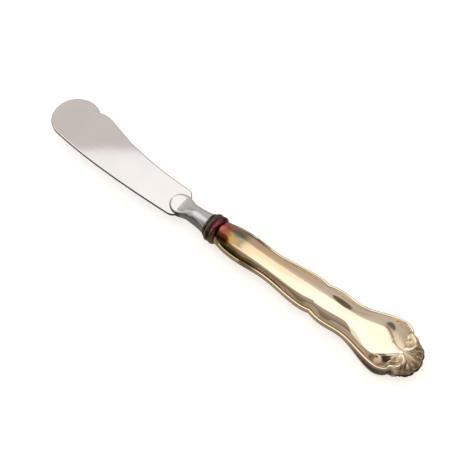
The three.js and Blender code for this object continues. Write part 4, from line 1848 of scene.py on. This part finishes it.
    def _tent_shades(self, graph: Graph) -> bpy.types.NodeSocket:
        """The tent's shades, by where each direction meets a level ceiling.

        A softbox with round corners is white. The far wall is grey and dims to the right and towards the
        floor, and the near side is dim but for two windows. The camera and its stand are dark ovals, and so
        is the bracket at the softbox's right corner, where its frame shows.

        Args:
            graph: The material's nodes.

        Returns:
            The colour.
        """
        place = graph.place()
        height = graph.axes(place)[2].greatest(self.tent_lowest)
        away, right = (self._along(graph, place, way) / height for way in (self.away, self.right))
        along = (away * (1.0 / self.softbox_far)).greatest(0.0)
        reach = self.softbox_right - self.softbox_middle
        across = ((right - self.softbox_middle) * (1.0 / reach)).greatest(0.0)
        edge = along**self.softbox_power + across**self.softbox_power
        sharpness = 1.0 - right.between(*self.soft_side) * self.soft_loss
        box = ((edge - self.softbox_edge) * sharpness).between(*self.softbox_fade)
        bar = edge.between(*self.bar_inner) * edge.between(*self.bar_outer) * right.between(*self.bar_side)
        wall = graph.layers(self.far_wall, (
            (away.between(*self.low_away), self.low_wall),
            (right.between(*self.right_side), self.right_wall),
            (right.between(*self.right_near_side) * away.between(*self.right_near_away), self.right_near),
            (self._oval(away, right, self.bracket).between(*self.bracket_fade), self.bracket_shade),
        ))
        white = graph.layers(self.white, (
            (away.between(self.softbox_far, self.white_near_at), self.white_near),
            (right.between(*self.white_left_side), self.white_left),
        ))
        low = ((away**2.0 + right**2.0).between(*self.near_low_from), self.near_low)
        windows = [
            (self._oval(away, right, oval).between(*self.window_fade), self.window_shade)
            for oval in self.windows]
        cameras = [
            (self._oval(away, right, oval).between(*self.camera_fade), self.camera_shade)
            for oval in self.camera_spots]
        lean = away - right.least(0.0) * self.softbox_slant - self.softbox_near
        return graph.layers(wall, (
            (box, white),
            (bar * self.bar_strength, self.bracket_shade),
            (lean.between(*self.near_fade), graph.layers(self.near_side, [low, *windows, *cameras])),
        ))

    @staticmethod
    def _oval(away: Signal, right: Signal, oval: Oval) -> Signal:
        """How far a direction lies from an oval's middle, squared, with 1 on the oval's edge."""
        ahead, aside, length, width = oval
        return ((away - ahead) * (1.0 / length)) ** 2.0 + ((right - aside) * (1.0 / width)) ** 2.0

    @staticmethod
    def _along(graph: Graph, place: bpy.types.NodeSocket, way: Place) -> Signal:
        """How far a place lies along a direction."""
        settings = {"operation": "DOT_PRODUCT"}
        return graph.signal("ShaderNodeVectorMath", settings, {0: place, 1: way}, "Value")

    def dark_card(self) -> None:
        """Makes the small dark card that the handle mirrors: an oval across the line from a place on it."""
        dark = bpy.data.materials.new("dark_card")
        graph = Graph(dark)
        grain = graph.noise(graph.place(), self.card_grain, detail=2.0)
        graph.end(graph.matt(graph.tint(grain, self.card_dark, self.card_speck)))
        radius, turn = np.meshgrid(
            np.linspace(0, 1, self.card_rings), np.linspace(0, 2 * math.pi, self.card_sides), indexing="ij")
        ways = np.array([self.away, self.right, (0.0, 0.0, 1.0)])
        towards = unit(np.array(self.card_way) @ ways)
        along = unit(np.array([1.0, 0.0, 0.0]) - towards[0] * towards)
        over = np.cross(towards, along)
        length, width = self.card_halves
        disc = (radius * np.cos(turn) * length)[..., None] * along
        disc = disc + (radius * np.sin(turn) * width)[..., None] * over
        points = (np.array(self.card_spot) + towards * self.card_distance + disc).reshape(-1, 3)
        faces = grid_faces(self.card_rings, self.card_sides)
        made = Surface(points, faces, {}).build("dark_card_0", self.datum, dark)
        made.visible_camera = False

    def sky(self) -> None:
        """Makes the plain white backdrop beyond the tent."""
        world = bpy.data.worlds.new("studio")
        bpy.context.scene.world = world
        graph = Graph(world)
        shader = graph.node("ShaderNodeBackground", {}, {"Color": (1, 1, 1, 1), "Strength": 1.0})
        graph.node("ShaderNodeOutputWorld", {}, {"Surface": shader.outputs[0]})

    def build(self) -> None:
        """Makes the whole studio and sets the plain view transform."""
        self.camera()
        self.floor()
        self.tent()
        self.dark_card()
        self.sky()
        bpy.context.scene.view_settings.view_transform = "Standard"


def dress(node: str, material: bpy.types.Material) -> None:
    """Gives a node of the frame a material.

    Args:
        node: Name of the node.
        material: Its finish.
    """
    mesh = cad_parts[node].data
    mesh.materials.clear()
    mesh.materials.append(material)
    log.info("%s: dressed as %s", node, material.name)


def main() -> None:
    """Builds the knife piece by piece, then the studio."""
    logging.basicConfig(level=logging.INFO, format="%(name)s: %(message)s")
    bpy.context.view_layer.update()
    datum = Datum.from_frame()
    silver = AgedSilver().material(datum)
    shell = HandleShell(datum)
    shell.build("front_shell", "handle_front_shell", False, silver)
    shell.build("back_shell", "handle_back_shell", True, silver)
    Ferrule(datum).build(DarkCollar().material(datum))
    Blade(datum).build(PolishedSteel().material(datum))
    solder = SpeckledFinish(
        "silver_solder", colour=(0.55, 0.48, 0.38), speck=(0.30, 0.22, 0.15),
        roughness=0.3, metallic=1.0, grain=900.0)
    cement = SpeckledFinish(
        "set_cement", colour=(0.42, 0.32, 0.24), speck=(0.26, 0.19, 0.14),
        roughness=0.8, metallic=0.0, grain=700.0)
    dress("seam_solder", solder.material())
    dress("filler_core", cement.material())
    Studio(datum).build()


if __name__ == "__main__":
    main()
